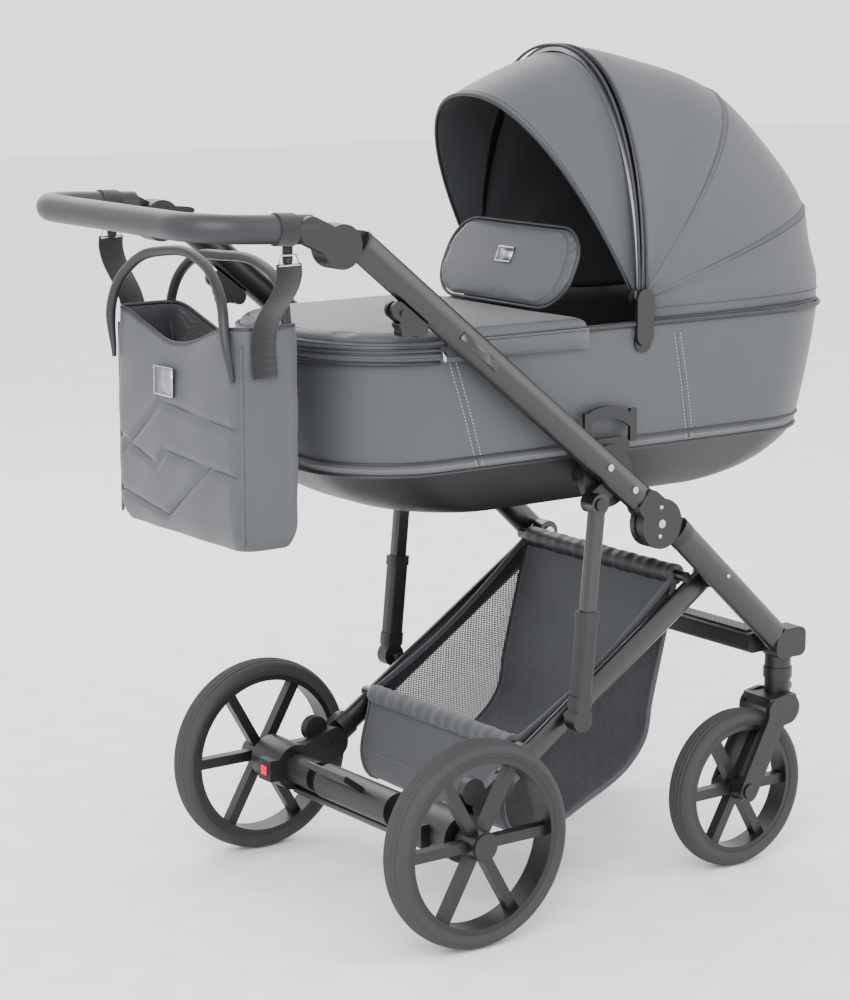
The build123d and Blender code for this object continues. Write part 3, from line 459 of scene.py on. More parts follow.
class STROLLER_OT_finishes(bpy.types.Operator):
    """Makes every finish and puts the hard ones on the CAD parts"""
    bl_idname = "stroller.finishes"
    bl_label = "Finishes"

    def execute(self, context):
        c = context.scene.stroller_colours
        grained("coated_leatherette", c.leatherette, 1.4, (0.44, 0.58), 0.12, 0.12)
        grained("black_leatherette", "#232427", 1.1, (0.36, 0.5), 0.16)
        woven("lining_cloth", c.lining, 0.5, (0.75, 0.9))
        woven("heather_cloth", "#55565a", 0.6, (0.8, 0.95), 0.5)
        woven("polyester_webbing", "#17181a", 1.1, (0.6, 0.78))
        woven("basket_cloth", "#3c3e43", 0.5, (0.62, 0.78))
        woven("knitted_mesh", "#202124", 1.6, (0.7, 0.85), 0.6)
        see_through(LOOK["knitted_mesh"], 3.0)
        moulded("powder_coated_aluminium", c.tube, (0.28, 0.38), 0.5, depth_mm=0.03, coat=0.3)
        moulded("moulded_nylon", c.plastic, (0.38, 0.5), 0.45)
        moulded("polished_nylon", c.plastic, (0.2, 0.3), 0.8, depth_mm=0.03, coat=0.4)
        moulded("eva_tyre_foam", "#29292b", (0.68, 0.84), 1.2, depth_mm=0.12)
        moulded("red_abs", c.release, (0.28, 0.4), 0.6)
        moulded("zinc_plated_steel", "#b9bbbe", (0.16, 0.28), 0.9, metallic=1.0, depth_mm=0.01)
        moulded("satin_anodised_bow", "#8f9094", (0.26, 0.36), 0.4, metallic=1.0, depth_mm=0.01)
        moulded("light_thread", "#a9abb1", (0.6, 0.75), 0.3)
        moulded("black_thread", "#151517", (0.6, 0.75), 0.3)
        moulded("black_piping", "#1d1e20", (0.42, 0.55), 0.5)
        moulded("studio_floor", "#fbfbfb", (0.7, 0.8), 40.0, depth_mm=0.0)
        by_slot = {
            "satin_black_tube": "powder_coated_aluminium", "moulded_black_plastic": "moulded_nylon",
            "dark_steel": "zinc_plated_steel", "foam_tyre": "eva_tyre_foam", "red_plastic": "red_abs",
            "grey_leatherette": "coated_leatherette", "black_leatherette": "black_leatherette",
            "grey_fabric": "basket_cloth", "black_webbing": "polyester_webbing",
            "satin_bow": "satin_anodised_bow",
        }
        slots = {s["node"]: s["material_slot"] for s in frame["record"]["subparts"]}
        for node, obj in frame["nodes"].items():
            for slot in obj.material_slots:
                slot.material = LOOK[by_slot[slots[node]]]
            obj.data.shade_smooth()
        return {"FINISHED"}


# ---- carrycot --------------------------------------------------------------------
def band(lo, hi, corner, z, grow=0.0, taper=0.0):
    """One level of the cot's wall: its outline at height z, grown outwards or tapered in."""
    outline = rounded_outline(lo.x + taper - grow, hi.x - 3 * taper + grow, hi.y - taper + grow,
                              corner - 20 * MM * taper / (14 * MM) + grow)
    return [Vector((x, y, z)) for x, y in outline]


COT_LO, COT_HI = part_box("cot_body")
COT_CORNER, COT_TAPER, COT_WALL = 150 * MM, 14 * MM, 12 * MM
RIM_Z, SEAM_Z = COT_HI.z, COT_LO.z
HOOD_AT = PIVOT["hood_fold"]
# each side seam, as shares of the cot's length from its foot: at the rim and at the band below
COT_SEAMS = ((0.167, 0.231), (0.606, 0.647))
ZIP_REACH = 136 * MM


def cot_level(share, grow):
    """Outline of the cot's skin, from its rim (0) to its lower seam (1)."""
    return band(COT_LO, COT_HI, COT_CORNER, RIM_Z + (SEAM_Z - RIM_Z) * share, grow, COT_TAPER * share)


def on_skin(x, z, proud):
    """Point on the straight side of the cot's skin, on the right."""
    share = (RIM_Z - z) / (RIM_Z - SEAM_Z)
    return Vector((x, -(COT_HI.y - COT_TAPER * share + 3 * MM * math.sin(math.pi * share) + proud), z))


class STROLLER_OT_cot(bpy.types.Operator):
    """Cot's fabric wall with its lining, speckled band, piping and seams"""
    bl_idname = "stroller.cot"
    bl_label = "Cot fabric"

    def execute(self, context):
        sizes = context.scene.stroller_sizes
        rows, kinds = [], []
        outer = 16
        for k in range(outer + 1):
            share = k / outer
            rows.append(cot_level(share, 3 * MM * math.sin(math.pi * share)))
            kinds.append(1 if share > 0.9 else 0)
        for share in (0.98, 0.7, 0.4, 0.1):
            rows.append(cot_level(share, -COT_WALL))
            kinds.append(2)
        rows.append([p + Vector((0, 0, 3 * MM)) for p in cot_level(0, -COT_WALL / 2)])
        kinds.append(2)
        columns = len(rows[0])
        faces = grid_faces(len(rows), columns, True, True)
        index = [kinds[r] for r in range(len(rows)) for _ in range(columns)]
        wall = new_piece("cot_fabric", [p for row in rows for p in row], faces,
                         [LOOK["coated_leatherette"], LOOK["heather_cloth"], LOOK["lining_cloth"]], index)
        place(wall, "carrycot", "grey_leatherette", "cot_body")
        trims = []
        for title, share, radius in (("rim", 0.0, 1.4), ("heather_top", 0.9, 0.7), ("seam", 0.995, 1.0)):
            path = cot_level(share, (1.5 + 2 * math.sin(math.pi * share)) * MM)
            trims.append(sweep("cot_piping_" + title, path, circle(sizes.piping * radius, 8),
                               LOOK["black_piping"], closed=True))
        place(merge("cot_piping", trims), "carrycot", "black_webbing")
        lines, rows = [], []
        long = COT_HI.x - COT_LO.x
        tall = RIM_Z - SEAM_Z

        def seam_line(top, low, shift, proud):
            return [on_skin(COT_LO.x + long * (top + (low - top) * t) + shift,
                            RIM_Z - tall * (0.11 + 0.85 * t), proud)
                    for t in np.linspace(0, 1, 12)]

        for top, low in COT_SEAMS:
            for shift in (-5.5 * MM, 5.5 * MM):
                line = seam_line(top, low, shift, 0.5 * MM)
                lines += [line, [Vector((p.x, -p.y, p.z)) for p in line]]
            middle = seam_line(top, low, 0.0, 0.0)
            for flip in (1, -1):
                path = [Vector((p.x, flip * p.y, p.z)) for p in middle]
                rows.append(sweep("fold", path, flat_section(3.2 * MM, 1.2 * MM),
                                  LOOK["coated_leatherette"],
                                  side=(1, 0, 0)))
        place(merge("cot_seam_folds", rows), "carrycot", "grey_leatherette")
        stitches("cot_stitches", lines, LOOK["light_thread"], "carrycot", "black_webbing")
        return {"FINISHED"}


def crowned(name, outline, low, high, crown, rings, material, body_rows=6, centre=None):
    """Stuffed form over an outline: rounded edge, top that rises to a crown, flat underneath."""
    middle = centre or sum(outline, Vector()) / len(outline)
    points = []
    deep = high - low
    for k in range(body_rows + 1):
        turn = math.pi / 2 * k / body_rows
        inset = deep * 0.45 * (1 - math.cos(turn))
        for p in outline:
            to = (middle - p).normalized()
            points.append(Vector((p.x, p.y, 0)) + to * inset
                          + Vector((0, 0, low + deep * (0.35 + 0.65 * math.sin(turn)))))
    for k in range(1, rings + 1):
        share = k / rings
        for p in outline:
            q = p + (middle - p) * (0.45 * deep / (middle - p).length)
            q = q + (middle - q) * share
            points.append(Vector((q.x, q.y, high + crown * math.sin(math.pi / 2 * share))))
    base = [Vector((p.x, p.y, low)) for p in outline]
    points = base + points
    columns = len(outline)
    faces = grid_faces(rings + body_rows + 2, columns, False, True)
    faces.append(tuple(range(columns)))
    return new_piece(name, points, faces, [material])


def puff(obj, voxel, pressure, cap):
    """Swells a stuffed piece as cloth under pressure, with a cap on how far each point may move."""
    remesh = obj.modifiers.new("even", "REMESH")
    remesh.mode, remesh.voxel_size = "VOXEL", voxel
    settle(obj)
    rest = np.empty(len(obj.data.vertices) * 3)
    obj.data.vertices.foreach_get("co", rest)
    cloth = obj.modifiers.new("swell", "CLOTH")
    cloth.settings.use_pressure = True
    cloth.settings.uniform_pressure_force = pressure
    cloth.settings.effector_weights.gravity = 0
    scene = bpy.context.scene
    for step in range(1, 21):
        scene.frame_set(step)
    settle(obj)
    scene.frame_set(1)
    moved = np.empty_like(rest)
    obj.data.vertices.foreach_get("co", moved)
    shift = (moved - rest).reshape(-1, 3)
    far = np.linalg.norm(shift, axis=1, keepdims=True)
    shift *= np.minimum(1, cap / np.maximum(far, 1e-9))
    obj.data.vertices.foreach_set("co", (rest.reshape(-1, 3) + shift).ravel())
    finer = obj.modifiers.new("finer", "SUBSURF")
    finer.levels = finer.render_levels = 1
    settle(obj)
    obj.data.shade_smooth()
    return obj


class STROLLER_OT_apron(bpy.types.Operator):
    """Padded cover over the foot half, with its zip bands and seams"""
    bl_idname = "stroller.apron"
    bl_label = "Apron"

    def execute(self, context):
        lo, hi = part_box("cot_apron")
        grow = -lo.x + COT_LO.x
        ring = band(COT_LO, COT_HI, COT_CORNER, 0, grow - 1 * MM)
        kept = [p for p in ring if p.x < hi.x - 1 * MM]
        split = next(k for k in range(len(ring)) if ring[k].x < hi.x - 1 * MM)
        kept = ring[split:split + len(kept)]
        edge = [Vector((hi.x, kept[0].y + (kept[-1].y - kept[0].y) * (1 - t), 0))
                for t in np.linspace(0, 1, 14)]
        outline = [Vector((kept[0].x, kept[0].y, 0))] + kept[1:] + edge[:-1]
        outline = even(outline + [outline[0]], 150)[:-1]
        pad = crowned("apron_cover", outline, lo.z + 22 * MM, hi.z - 3 * MM, 5 * MM, 14,
                      LOOK["coated_leatherette"], centre=Vector(((lo.x + hi.x) / 2, 0, 0)))
        puff(pad, 5 * MM, 3.0, 4 * MM)
        place(pad, "carrycot", "grey_leatherette", "cot_apron")
        skirt_rows = []
        for z, out in ((hi.z - 12 * MM, 0.4), (hi.z - 22 * MM, 0.9), (hi.z - 32 * MM, 0.6), (lo.z, 0.2)):
            row = [p for p in band(COT_LO, COT_HI, COT_CORNER, z, 5 * MM + out * MM)]
            skirt_rows.append(row[split:split + len(kept)])
        points = [p for row in skirt_rows for p in row]
        skirt = new_piece("apron_skirt", points, grid_faces(len(skirt_rows), len(kept)),
                          [LOOK["coated_leatherette"]])
        thick = skirt.modifiers.new("wall", "SOLIDIFY")
        thick.thickness, thick.offset = 1.6 * MM, 0
        settle(skirt)
        place(skirt, "carrycot", "grey_leatherette")
        bands = []
        reach = lo.x + ZIP_REACH
        for drop, radius in ((13, 1.5), (20, 2.0), (26, 2.0), (33, 1.6), (39, 2.6)):
            row = [p for p in band(COT_LO, COT_HI, COT_CORNER, hi.z - drop * MM, 6.2 * MM)]
            row = row[split:split + len(kept)]
            if drop in (20, 26, 39):
                row = [p for p in row if p.x < reach]
            dark = "black_piping" if drop in (20, 26, 39) else "coated_leatherette"
            bands.append(sweep("band", row, circle(radius * MM, 8), LOOK[dark]))
        place(merge("apron_zip_bands", bands), "carrycot", "black_webbing")
        pull = Vector((reach + 4 * MM, -(COT_HI.y + 9 * MM), hi.z - 24 * MM))
        slider = sweep("zip_pull", [pull, pull + Vector((2, 0, -14)) * MM], flat_section(7 * MM, 2.4 * MM),
                       LOOK["zinc_plated_steel"], side=(1, 0, 0))
        place(slider, "carrycot", "dark_steel")
        seam = [p + Vector((0, 0, hi.z + 0.2 * MM))
                + (Vector(((lo.x + hi.x) / 2, 0, 0)) - p).normalized() * 16 * MM
                for p in outline]
        stitches("apron_stitches", [seam + [seam[0]]], LOOK["black_thread"], "carrycot", "black_webbing")
        return {"FINISHED"}


class STROLLER_OT_flap(bpy.types.Operator):
    """Wind flap: a stuffed panel that stands on the apron, with a plain metal plate"""
    bl_idname = "stroller.flap"
    bl_label = "Wind flap"

    def execute(self, context):
        sizes = context.scene.stroller_sizes
        lo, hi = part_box("wind_flap")
        foot = PIVOT["flap_fold"]
        thick = 12 * MM
        lean = math.atan2(hi.x - lo.x - thick, hi.z - lo.z)
        up = Vector((math.sin(lean), 0, math.cos(lean)))
        out = Vector((-math.cos(lean), 0, math.sin(lean)))
        high, half, corner = 0.93 * (hi.z - lo.z) / math.cos(lean), hi.y, 52 * MM
        flat = [Vector((y, h + high / 2, 0)) for h, y in rounded_outline(-high / 2, high / 2, half, corner)]
        shape = crowned("flap_panel", flat, -0.5 * thick, 0.15 * thick, 4 * MM, 8,
                        LOOK["coated_leatherette"])
        for v in shape.data.vertices:
            across, along, deep = v.co
            v.co = foot + up * along + out * deep + Vector((0, across, 0))
        puff(shape, 4 * MM, 4.0, 3 * MM)
        place(shape, "flap", "grey_leatherette", "wind_flap")
        line = [foot + up * (p.y) + out * 3 * MM + Vector((0, p.x, 0)) for p in flat]
        inner = [foot + up * (high / 2) + (p - foot - up * (high / 2)) * 0.9 + out * 5 * MM for p in line]
        stitches("flap_stitches", [inner + [inner[0]]], LOOK["black_thread"], "flap", "black_webbing")
        rim = sweep("flap_piping", [p - out * 4 * MM for p in line], circle(sizes.piping, 8),
                    LOOK["black_piping"], closed=True)
        place(rim, "flap", "black_webbing")
        centre = foot + up * 68 * MM + out * 9.5 * MM
        plate_at(centre, up, Vector((0, 1, 0)), out, 34 * MM, 22 * MM, "flap_plate", "flap")
        return {"FINISHED"}


def plate_at(centre, up, across, out, wide, high, name, body):
    """Blank plate in a raised metal frame."""
    corners = [(wide / 2, high / 2), (-wide / 2, high / 2), (-wide / 2, -high / 2), (wide / 2, -high / 2)]
    ring = [centre + across * a + up * b for a, b in corners]
    frame_bar = sweep("frame", ring, [(1.8 * MM, -1 * MM), (1.2 * MM, 1.6 * MM), (-1.2 * MM, 1.6 * MM),
                                      (-1.8 * MM, -1 * MM)],
                      LOOK["zinc_plated_steel"], side=out, closed=True)
    plate = sweep("plate", [centre - out * 1.5 * MM, centre + out * 0.8 * MM],
                  [(wide / 2, -high / 2), (wide / 2, high / 2), (-wide / 2, high / 2),
                   (-wide / 2, -high / 2)],
                  LOOK["satin_anodised_bow"], side=across)
    place(merge(name, [frame_bar, plate]), body, "dark_steel")


# ---- hood -----------------------------------------------------------------------
def bow_point(angle, turn, high, half, power):
    """Point on the bow at angle degrees behind upright; turn 0..1 goes from right to left."""
    t = math.pi * turn
    c, s = math.cos(t), math.sin(t)
    y = -half * math.copysign(abs(c) ** (2 / power), c)
    r = high * abs(s) ** (2 / power)
    a = math.radians(angle)
    return HOOD_AT + Vector((r * math.sin(a), y, r * math.cos(a)))


def hood_radius(angle):
    """The hood reaches further back than up."""
    a = math.radians(max(0.0, angle))
    up, back = HOOD_HI.z - HOOD_AT.z - 3 * MM, HOOD_HI.x - HOOD_AT.x - 3 * MM
    return 1 / math.sqrt((math.cos(a) / up) ** 2 + (math.sin(a) / back) ** 2)


HOOD_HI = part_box("hood_rear")[1]
VISOR_LO, VISOR_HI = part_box("hood_visor")
# where the cloth's bays meet, in degrees back from the bow
HOOD_SEAMS = (0.0, 40.0, 74.0, 90.0)


def hood_power(angle):
    """The bow is nearly elliptical; the lower edge is as square as the cot's rounded rim."""
    return 2.25 + 1.75 * (max(0.0, angle) / 90) ** 1.5


def hood_row(angle, count, sag, proud=0.0):
    bay = next((k for k in range(3) if HOOD_SEAMS[k] <= angle <= HOOD_SEAMS[k + 1]), 2)
    share = (angle - HOOD_SEAMS[bay]) / (HOOD_SEAMS[bay + 1] - HOOD_SEAMS[bay])
    dip = sag * math.sin(math.pi * share) ** 2
    return [bow_point(angle, k / (count - 1), hood_radius(angle) - dip + proud,
                      HOOD_HI.y - 2 * MM + proud - 0.4 * dip,
                      hood_power(angle))
            for k in range(count)]


class STROLLER_OT_hood(bpy.types.Operator):
    """Hood cloth stretched over its bows, its sun visor and the edging on both"""
    bl_idname = "stroller.hood"
    bl_label = "Hood"

    def execute(self, context):
        sizes = context.scene.stroller_sizes
        count = 73
        angles = list(np.linspace(1.2, 90, 60))
        rows = [hood_row(a, count, sizes.hood_sag) for a in angles]
        last = rows[-1]
        for drop in (8, 16, 24, 31):
            rows.append([p + Vector((0, 0, -drop * MM)) for p in last])
        cloth = new_piece("hood_cloth", [p for row in rows for p in row], grid_faces(len(rows), count),
                          [LOOK["coated_leatherette"]])
        inside_out = cloth.modifiers.new("wall", "SOLIDIFY")
        inside_out.thickness, inside_out.offset = 2.2 * MM, -1
        settle(cloth)
        fold = (Vector((HOOD_HI.x, 0, HOOD_AT.z)), Vector((HOOD_AT.x, 0, HOOD_HI.z)))
        between(cloth, "carrycot", "hood", *fold, "grey_leatherette", "hood_rear")
        # cut: the bow's length by the middle's sweep, narrowing to nothing at the pivots, and the hem
        ribs, lines = [], []
        for angle in HOOD_SEAMS[1:3]:
            ribs.append(sweep("rib", hood_row(angle, 90, 0, 0.3 * MM), flat_section(5 * MM, 1.4 * MM),
                              LOOK["coated_leatherette"], side=(1, 0, 0.2)))
            lines += [hood_row(angle + d, 90, sizes.hood_sag, 0.4 * MM) for d in (-0.9, 0.9)]
        hem = [p + Vector((0, 0, -14 * MM)) + Vector((0, math.copysign(0.3, p.y), 0)) * MM
               for p in hood_row(90, 90, 0, 0.6 * MM)]
        lines.append(hem)
        between(merge("hood_seam_ribs", ribs), "carrycot", "hood", *fold, "grey_leatherette")
        stitches("hood_stitches", lines, LOOK["black_thread"], "carrycot", "black_webbing", ("hood", *fold))
        edge = [p + Vector((0, 0, -31 * MM)) for p in hood_row(90, 90, 0, 0.0)]
        place(sweep("hood_piping", edge, circle(sizes.piping, 8), LOOK["black_piping"]), "carrycot",
              "black_webbing")
        trims = [sweep("trim", [p + Vector((dx, 0, 0)) for p in hood_row(0, 90, 0, 1.2 * MM)],
                       circle(2.2 * MM, 8), LOOK["black_piping"]) for dx in (-7 * MM, 7 * MM)]
        place(merge("hood_bow_edges", trims), "hood", "black_webbing")
        self.visor(count, sizes)
        return {"FINISHED"}

    def visor(self, count, sizes):
        """The visor is a bay of cloth in front of the bow, ending in a stiffened edge."""
        angles = np.linspace(-1.5, -30, 18)

        def row(angle, proud=0.0):
            share = (-angle - 1.5) / 28.5
            reach = VISOR_HI.z - HOOD_AT.z - 12 * share * MM - 5 * MM * math.sin(math.pi * share) + proud
            return [bow_point(angle, k / (count - 1), reach, VISOR_HI.y - 4 * share * MM + proud, 2.25)
                    for k in range(count)]

        cloth = new_piece("visor_cloth", [p for a in angles for p in row(a)],
                          grid_faces(len(angles), count),
                          [LOOK["coated_leatherette"]])
        wall = cloth.modifiers.new("wall", "SOLIDIFY")
        wall.thickness, wall.offset = 2.2 * MM, -1
        settle(cloth)
        fold = (Vector((HOOD_AT.x, 0, HOOD_AT.z)), Vector((VISOR_LO.x, 0, HOOD_AT.z)))
        between(cloth, "hood", "visor", *fold, "grey_leatherette", "hood_visor")
        # cut by the hood's rule: 0.83 m of edge by a 0.167 m sweep, narrowing to the pivots, and the hem
        place(sweep("visor_piping", row(angles[-1]), circle(sizes.piping * 1.1, 8), LOOK["black_piping"]),
              "visor", "black_webbing")
        stitches("visor_stitches", [row(-28.4, 0.5 * MM)], LOOK["black_thread"], "visor", "black_webbing")


# ---- bag -------------------------------------------------------------------------
BAG_LO, BAG_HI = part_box("bag_body")


def bag_top(y):
    """Height of the bag's scooped opening."""
    share = min(1.0, abs(y) / (BAG_HI.y * 0.93))
    return BAG_HI.z - 34 * MM * (0.5 + 0.5 * math.cos(math.pi * share))


def quilt_dip(y, z, lines):
    """How deep the sewn channel is at a place on the bag's outer face."""
    nearest = 1.0
    for line in lines:
        for (y0, z0), (y1, z1) in zip(line, line[1:]):
            dy, dz = y1 - y0, z1 - z0
            t = max(0.0, min(1.0, ((y - y0) * dy + (z - z0) * dz) / (dy * dy + dz * dz)))
            nearest = min(nearest, math.hypot(y - y0 - t * dy, z - z0 - t * dz))
    return math.exp(-(nearest / (4.5 * MM)) ** 2)


def on_bag(across, up):
    """Place on the bag's outer face: across -1..1 from right to left, up 0..1 from its floor."""
    return across * BAG_HI.y, BAG_LO.z + up * (BAG_HI.z - BAG_LO.z)


QUILT = [[on_bag(*spot) for spot in line] for line in (
    ((0.77, 0.36), (0.15, 0.62), (-0.96, 0.56)),
    ((1.0, 0.43), (0.23, 0.32), (0.10, 0.40), (-0.96, 0.35)),
    ((1.0, 0.17), (0.12, 0.10), (-0.58, 0.38)),
)]


class STROLLER_OT_bag(bpy.types.Operator):
    """Quilted bag with its lining, piping, rolled handles, plate and webbing straps"""
    bl_idname = "stroller.bag"
    bl_label = "Bag"

    def execute(self, context):
        sizes = context.scene.stroller_sizes
        x0, x1 = BAG_LO.x + 4 * MM, BAG_HI.x - 2 * MM
        rows, kinds = [], []
        levels = 64

        def level(share, grow, inner=False):
            pinch = 8 * MM * (1 - min(1.0, share * 9)) ** 2
            outline = rounded_outline(x0 + pinch - grow, x1 - pinch + grow,
                                      BAG_HI.y - 4 * MM - pinch + grow,
                                      24 * MM + grow, arc=8, side=16, end=48)
            row = []
            for x, y in outline:
                z = BAG_LO.z + 6 * MM + (bag_top(y) - BAG_LO.z - 6 * MM) * share
                belly = sizes.bag_bulge * math.sin(math.pi * min(1, share * 1.02)) ** 0.8
                belly *= math.cos(math.pi / 2 * min(1.0, abs(y) / BAG_HI.y)) ** 0.6
                face = x < (x0 + x1) / 2
                if not inner and face:
                    belly -= 4.5 * MM * quilt_dip(y, z, QUILT)
                on_face = min(1.0, max(0.0, (BAG_HI.y - abs(y)) / (14 * MM)))
                crumple = 1.2 * MM * math.sin(y * 61 + z * 47) * math.sin(z * 33 - x * 90)
                row.append(Vector((x + (-1 if face else 1) * (belly + crumple) * on_face, y, z)))
            return row

        for k in range(levels + 1):
            rows.append(level(k / levels, 0.0))
            kinds.append(0)
        for share in np.linspace(0.995, 0.03, 14):
            rows.append(level(share, -5 * MM, True))
            kinds.append(1)
        columns = len(rows[0])
        faces = grid_faces(len(rows), columns, False, True)
        index = [kinds[r] for r in range(len(rows) - 1) for _ in range(columns)]
        faces += [tuple(range(columns)), tuple(range((len(rows) - 1) * columns, len(rows) * columns))]
        shell = new_piece("bag_shell", [p for row in rows for p in row], faces,
                          [LOOK["coated_leatherette"], LOOK["lining_cloth"]], index + [0, 1])
        place(shell, "bag", "grey_leatherette", "bag_body")
        seams = []
        for line in QUILT:
            route = even([Vector((0, y, z)) for y, z in line], 60)
            bulge = [sizes.bag_bulge * math.cos(math.pi / 2 * min(1.0, abs(p.y) / BAG_HI.y)) ** 0.6
                     * math.sin(math.pi * min(1.0, 1.02 * (p.z - BAG_LO.z)
                                              / (bag_top(p.y) - BAG_LO.z))) ** 0.8
                     for p in route]
            seams.append([Vector((x0 - b + 3.6 * MM, p.y, p.z)) for b, p in zip(bulge, route)
                          if abs(p.y) < BAG_HI.y - 16 * MM])
        stitches("bag_stitches", seams, LOOK["black_thread"], "bag", "black_webbing")
        brim = level(1.0, -2.5 * MM)
        pipes = [sweep("brim", [p + Vector((0, 0, 1.5 * MM)) for p in brim], circle(3 * MM, 8),
                       LOOK["black_leatherette"], closed=True)]
        for y in (-1, 1):
            corner = [Vector((x0 + 9 * MM, y * (BAG_HI.y - 13 * MM), z)) for z in
                      np.linspace(BAG_LO.z + 14 * MM, BAG_HI.z - 20 * MM, 24)]
            pipes.append(sweep("corner", [p + Vector((-3, y * 3, 0)) * MM for p in corner],
                               circle(2.2 * MM, 8),
                               LOOK["coated_leatherette"]))
        place(merge("bag_piping", pipes), "bag", "black_leatherette")
        loops = []
        for x, top in ((x0 - 4 * MM, 82), (x1 - 6 * MM, 70)):
            knots = [(x, -150, -66), (x - 4 * MM, -142, -20), (x + 6 * MM, -112, 42),
                     (x + 14 * MM, -50, top),
                     (x + 14 * MM, 40, top + 4), (x + 8 * MM, 120, 60), (x, 156, 10),
                     (x - 2 * MM, 150, -66)]
            path = smooth_path([(a, b * MM, BAG_HI.z + c * MM) for a, b, c in knots], 90)
            loops.append(sweep("loop", path, circle(7 * MM, 14), LOOK["black_leatherette"],
                               scale=lambda t: 0.45 + 0.55 * min(1, 9 * t, 9 * (1 - t))))
        place(merge("bag_carry_handles", loops), "bag", "black_leatherette")
        centre = Vector((x0 - sizes.bag_bulge - 1.5 * MM, *on_bag(0.07, 0.72)))
        plate_at(centre, Vector((0, 0, 1)), Vector((0, 1, 0)), Vector((-1, 0, 0)), 46 * MM, 38 * MM,
                 "bag_plate", "bag")
        self.straps(sizes)
        return {"FINISHED"}

    def straps(self, sizes):
        """Webbing straps with their wire loops, from the bag's ends up to the handle."""
        lo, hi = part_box("bag_straps")
        pin = PIVOT["bag_swing"]
        webs, wires, lines = [], [], []
        for title, side in SIDES:
            y_low, y_top = side * (BAG_HI.y + 1.2 * MM), side * (hi.y - 1.5 * MM)
            path = [Vector((pin.x, y_low, BAG_HI.z - 62 * MM)), Vector((pin.x, y_low, BAG_HI.z - 2 * MM)),
                    Vector((pin.x, y_top, pin.z - 22 * MM)), Vector((pin.x, y_top, pin.z - 4 * MM))]
            path = smooth_path(path, 40)
            webs.append(sweep("web", path, flat_section(sizes.webbing, 2.6 * MM), LOOK["polyester_webbing"],
                              side=(1, 0, 0)))
            for edge in (-0.42, 0.42):
                lines.append([p + Vector((edge * sizes.webbing, side * 1.5 * MM, 0)) for p in path])
            ring = [(-16, -6), (16, -6), (11, 7), (-11, 7)]
            wires.append(sweep("wire", [pin + Vector((a * MM, y_top - pin.y, b * MM)) for a, b in ring],
                               circle(1.8 * MM, 8), LOOK["zinc_plated_steel"], side=(0, 1, 0), closed=True))
        place(merge("bag_webbing", webs), "bag", "black_webbing", "bag_straps")
        place(merge("bag_wire_loops", wires), "bag", "dark_steel")
        stitches("webbing_stitches", lines, LOOK["black_thread"], "bag", "black_webbing")


# ---- basket -----------------------------------------------------------------------
class STROLLER_OT_basket(bpy.types.Operator):
    """Shopping basket: sewn panels hung between two padded bars, with bound mesh sides"""
    bl_idname = "stroller.basket"
    bl_label = "Basket"

    def execute(self, context):
        lo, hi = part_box("basket")
        bars_lo, bars_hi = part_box("basket_bars")
        half = hi.y - 1 * MM
        bar = 8 * MM
        x_rear, x_front = bars_lo.x + bar, bars_hi.x - bar
        z_rear, z_front = bars_lo.z + bar, bars_hi.z - bar
        side = [(x_rear - 3 * MM, z_rear), (x_rear - 11 * MM, lo.z + 18 * MM),
                (x_rear + 22 * MM, lo.z + 3 * MM),
                (x_rear + 128 * MM, lo.z + 31 * MM), (x_rear + 232 * MM, lo.z + 97 * MM),
                (x_rear + 249 * MM, lo.z + 163 * MM), (x_front - 2 * MM, z_front)]
        profile = smooth_path([(x, 0, z) for x, z in side], 60)
        rows = []
        for y in np.linspace(-1, 1, 41):
            slack = math.cos(math.pi / 2 * abs(y)) ** 0.7
            rows.append([Vector((p.x, y * half, p.z - 5 * MM * slack * math.sin(math.pi * n / 59)))
                         for n, p in enumerate(profile)])
        floor = new_piece("basket_cloth", [p for row in rows for p in row], grid_faces(41, 60),
                          [LOOK["basket_cloth"]])
        wall = floor.modifiers.new("wall", "SOLIDIFY")
        wall.thickness, wall.offset = 2 * MM, 0
        settle(floor)
        place(floor, "rear_legs", "grey_fabric", "basket")
        nets, binding, lines = [], [], []
        rim = [Vector((x_rear, 0, z_rear + 4 * MM)), Vector((x_front, 0, z_front + 4 * MM))]
        for title, sign in SIDES:
            rows = []
            for n, p in enumerate(profile):
                t = n / 59
                top = rim[0] + (rim[1] - rim[0]) * t + Vector((0, 0, -16 * MM * math.sin(math.pi * t)))
                rows.append([Vector((p.x + (top.x - p.x) * s,
                                     sign * (half - 4 * MM * math.sin(math.pi * s)),
                                     p.z + (top.z - p.z) * s))
                             for s in np.linspace(0, 1, 12)])
            net = new_piece("net", [q for row in rows for q in row], grid_faces(60, 12),
                            [LOOK["knitted_mesh"]])
            wall = net.modifiers.new("wall", "SOLIDIFY")
            wall.thickness, wall.offset = 1.2 * MM, 0
            nets.append(settle(net))
            for path in ([row[0] for row in rows], [row[-1] for row in rows]):
                binding.append(sweep("edge", path, flat_section(5 * MM, 9 * MM, 1.4 * MM),
                                     LOOK["basket_cloth"], side=(0, 1, 0)))
                lines.append([p + Vector((0, sign * 2.8 * MM, 0)) for p in path])
        net = merge("basket_mesh_sides", nets)
        place(net, "rear_legs", "grey_fabric")
        place(merge("basket_binding", binding), "rear_legs", "grey_fabric")
        stitches("basket_stitches", lines, LOOK["black_thread"], "rear_legs", "black_webbing")
        for title, x, z, look, radius in (("rear", x_rear, z_rear, "basket_cloth", 14),
                                          ("front", x_front, z_front, "black_leatherette", 15)):
            def fat(t):
                return 1 + 0.035 * math.sin(t * 92) + 0.03 * math.sin(t * 41 + 1)
            path = [Vector((x, y, z)) for y in np.linspace(-half + 2 * MM, half - 2 * MM, 90)]
            place(sweep("basket_bar_sleeve_" + title, path, circle(radius * MM, 20), LOOK[look], scale=fat),
                  "rear_legs", "grey_fabric")
        return {"FINISHED"}


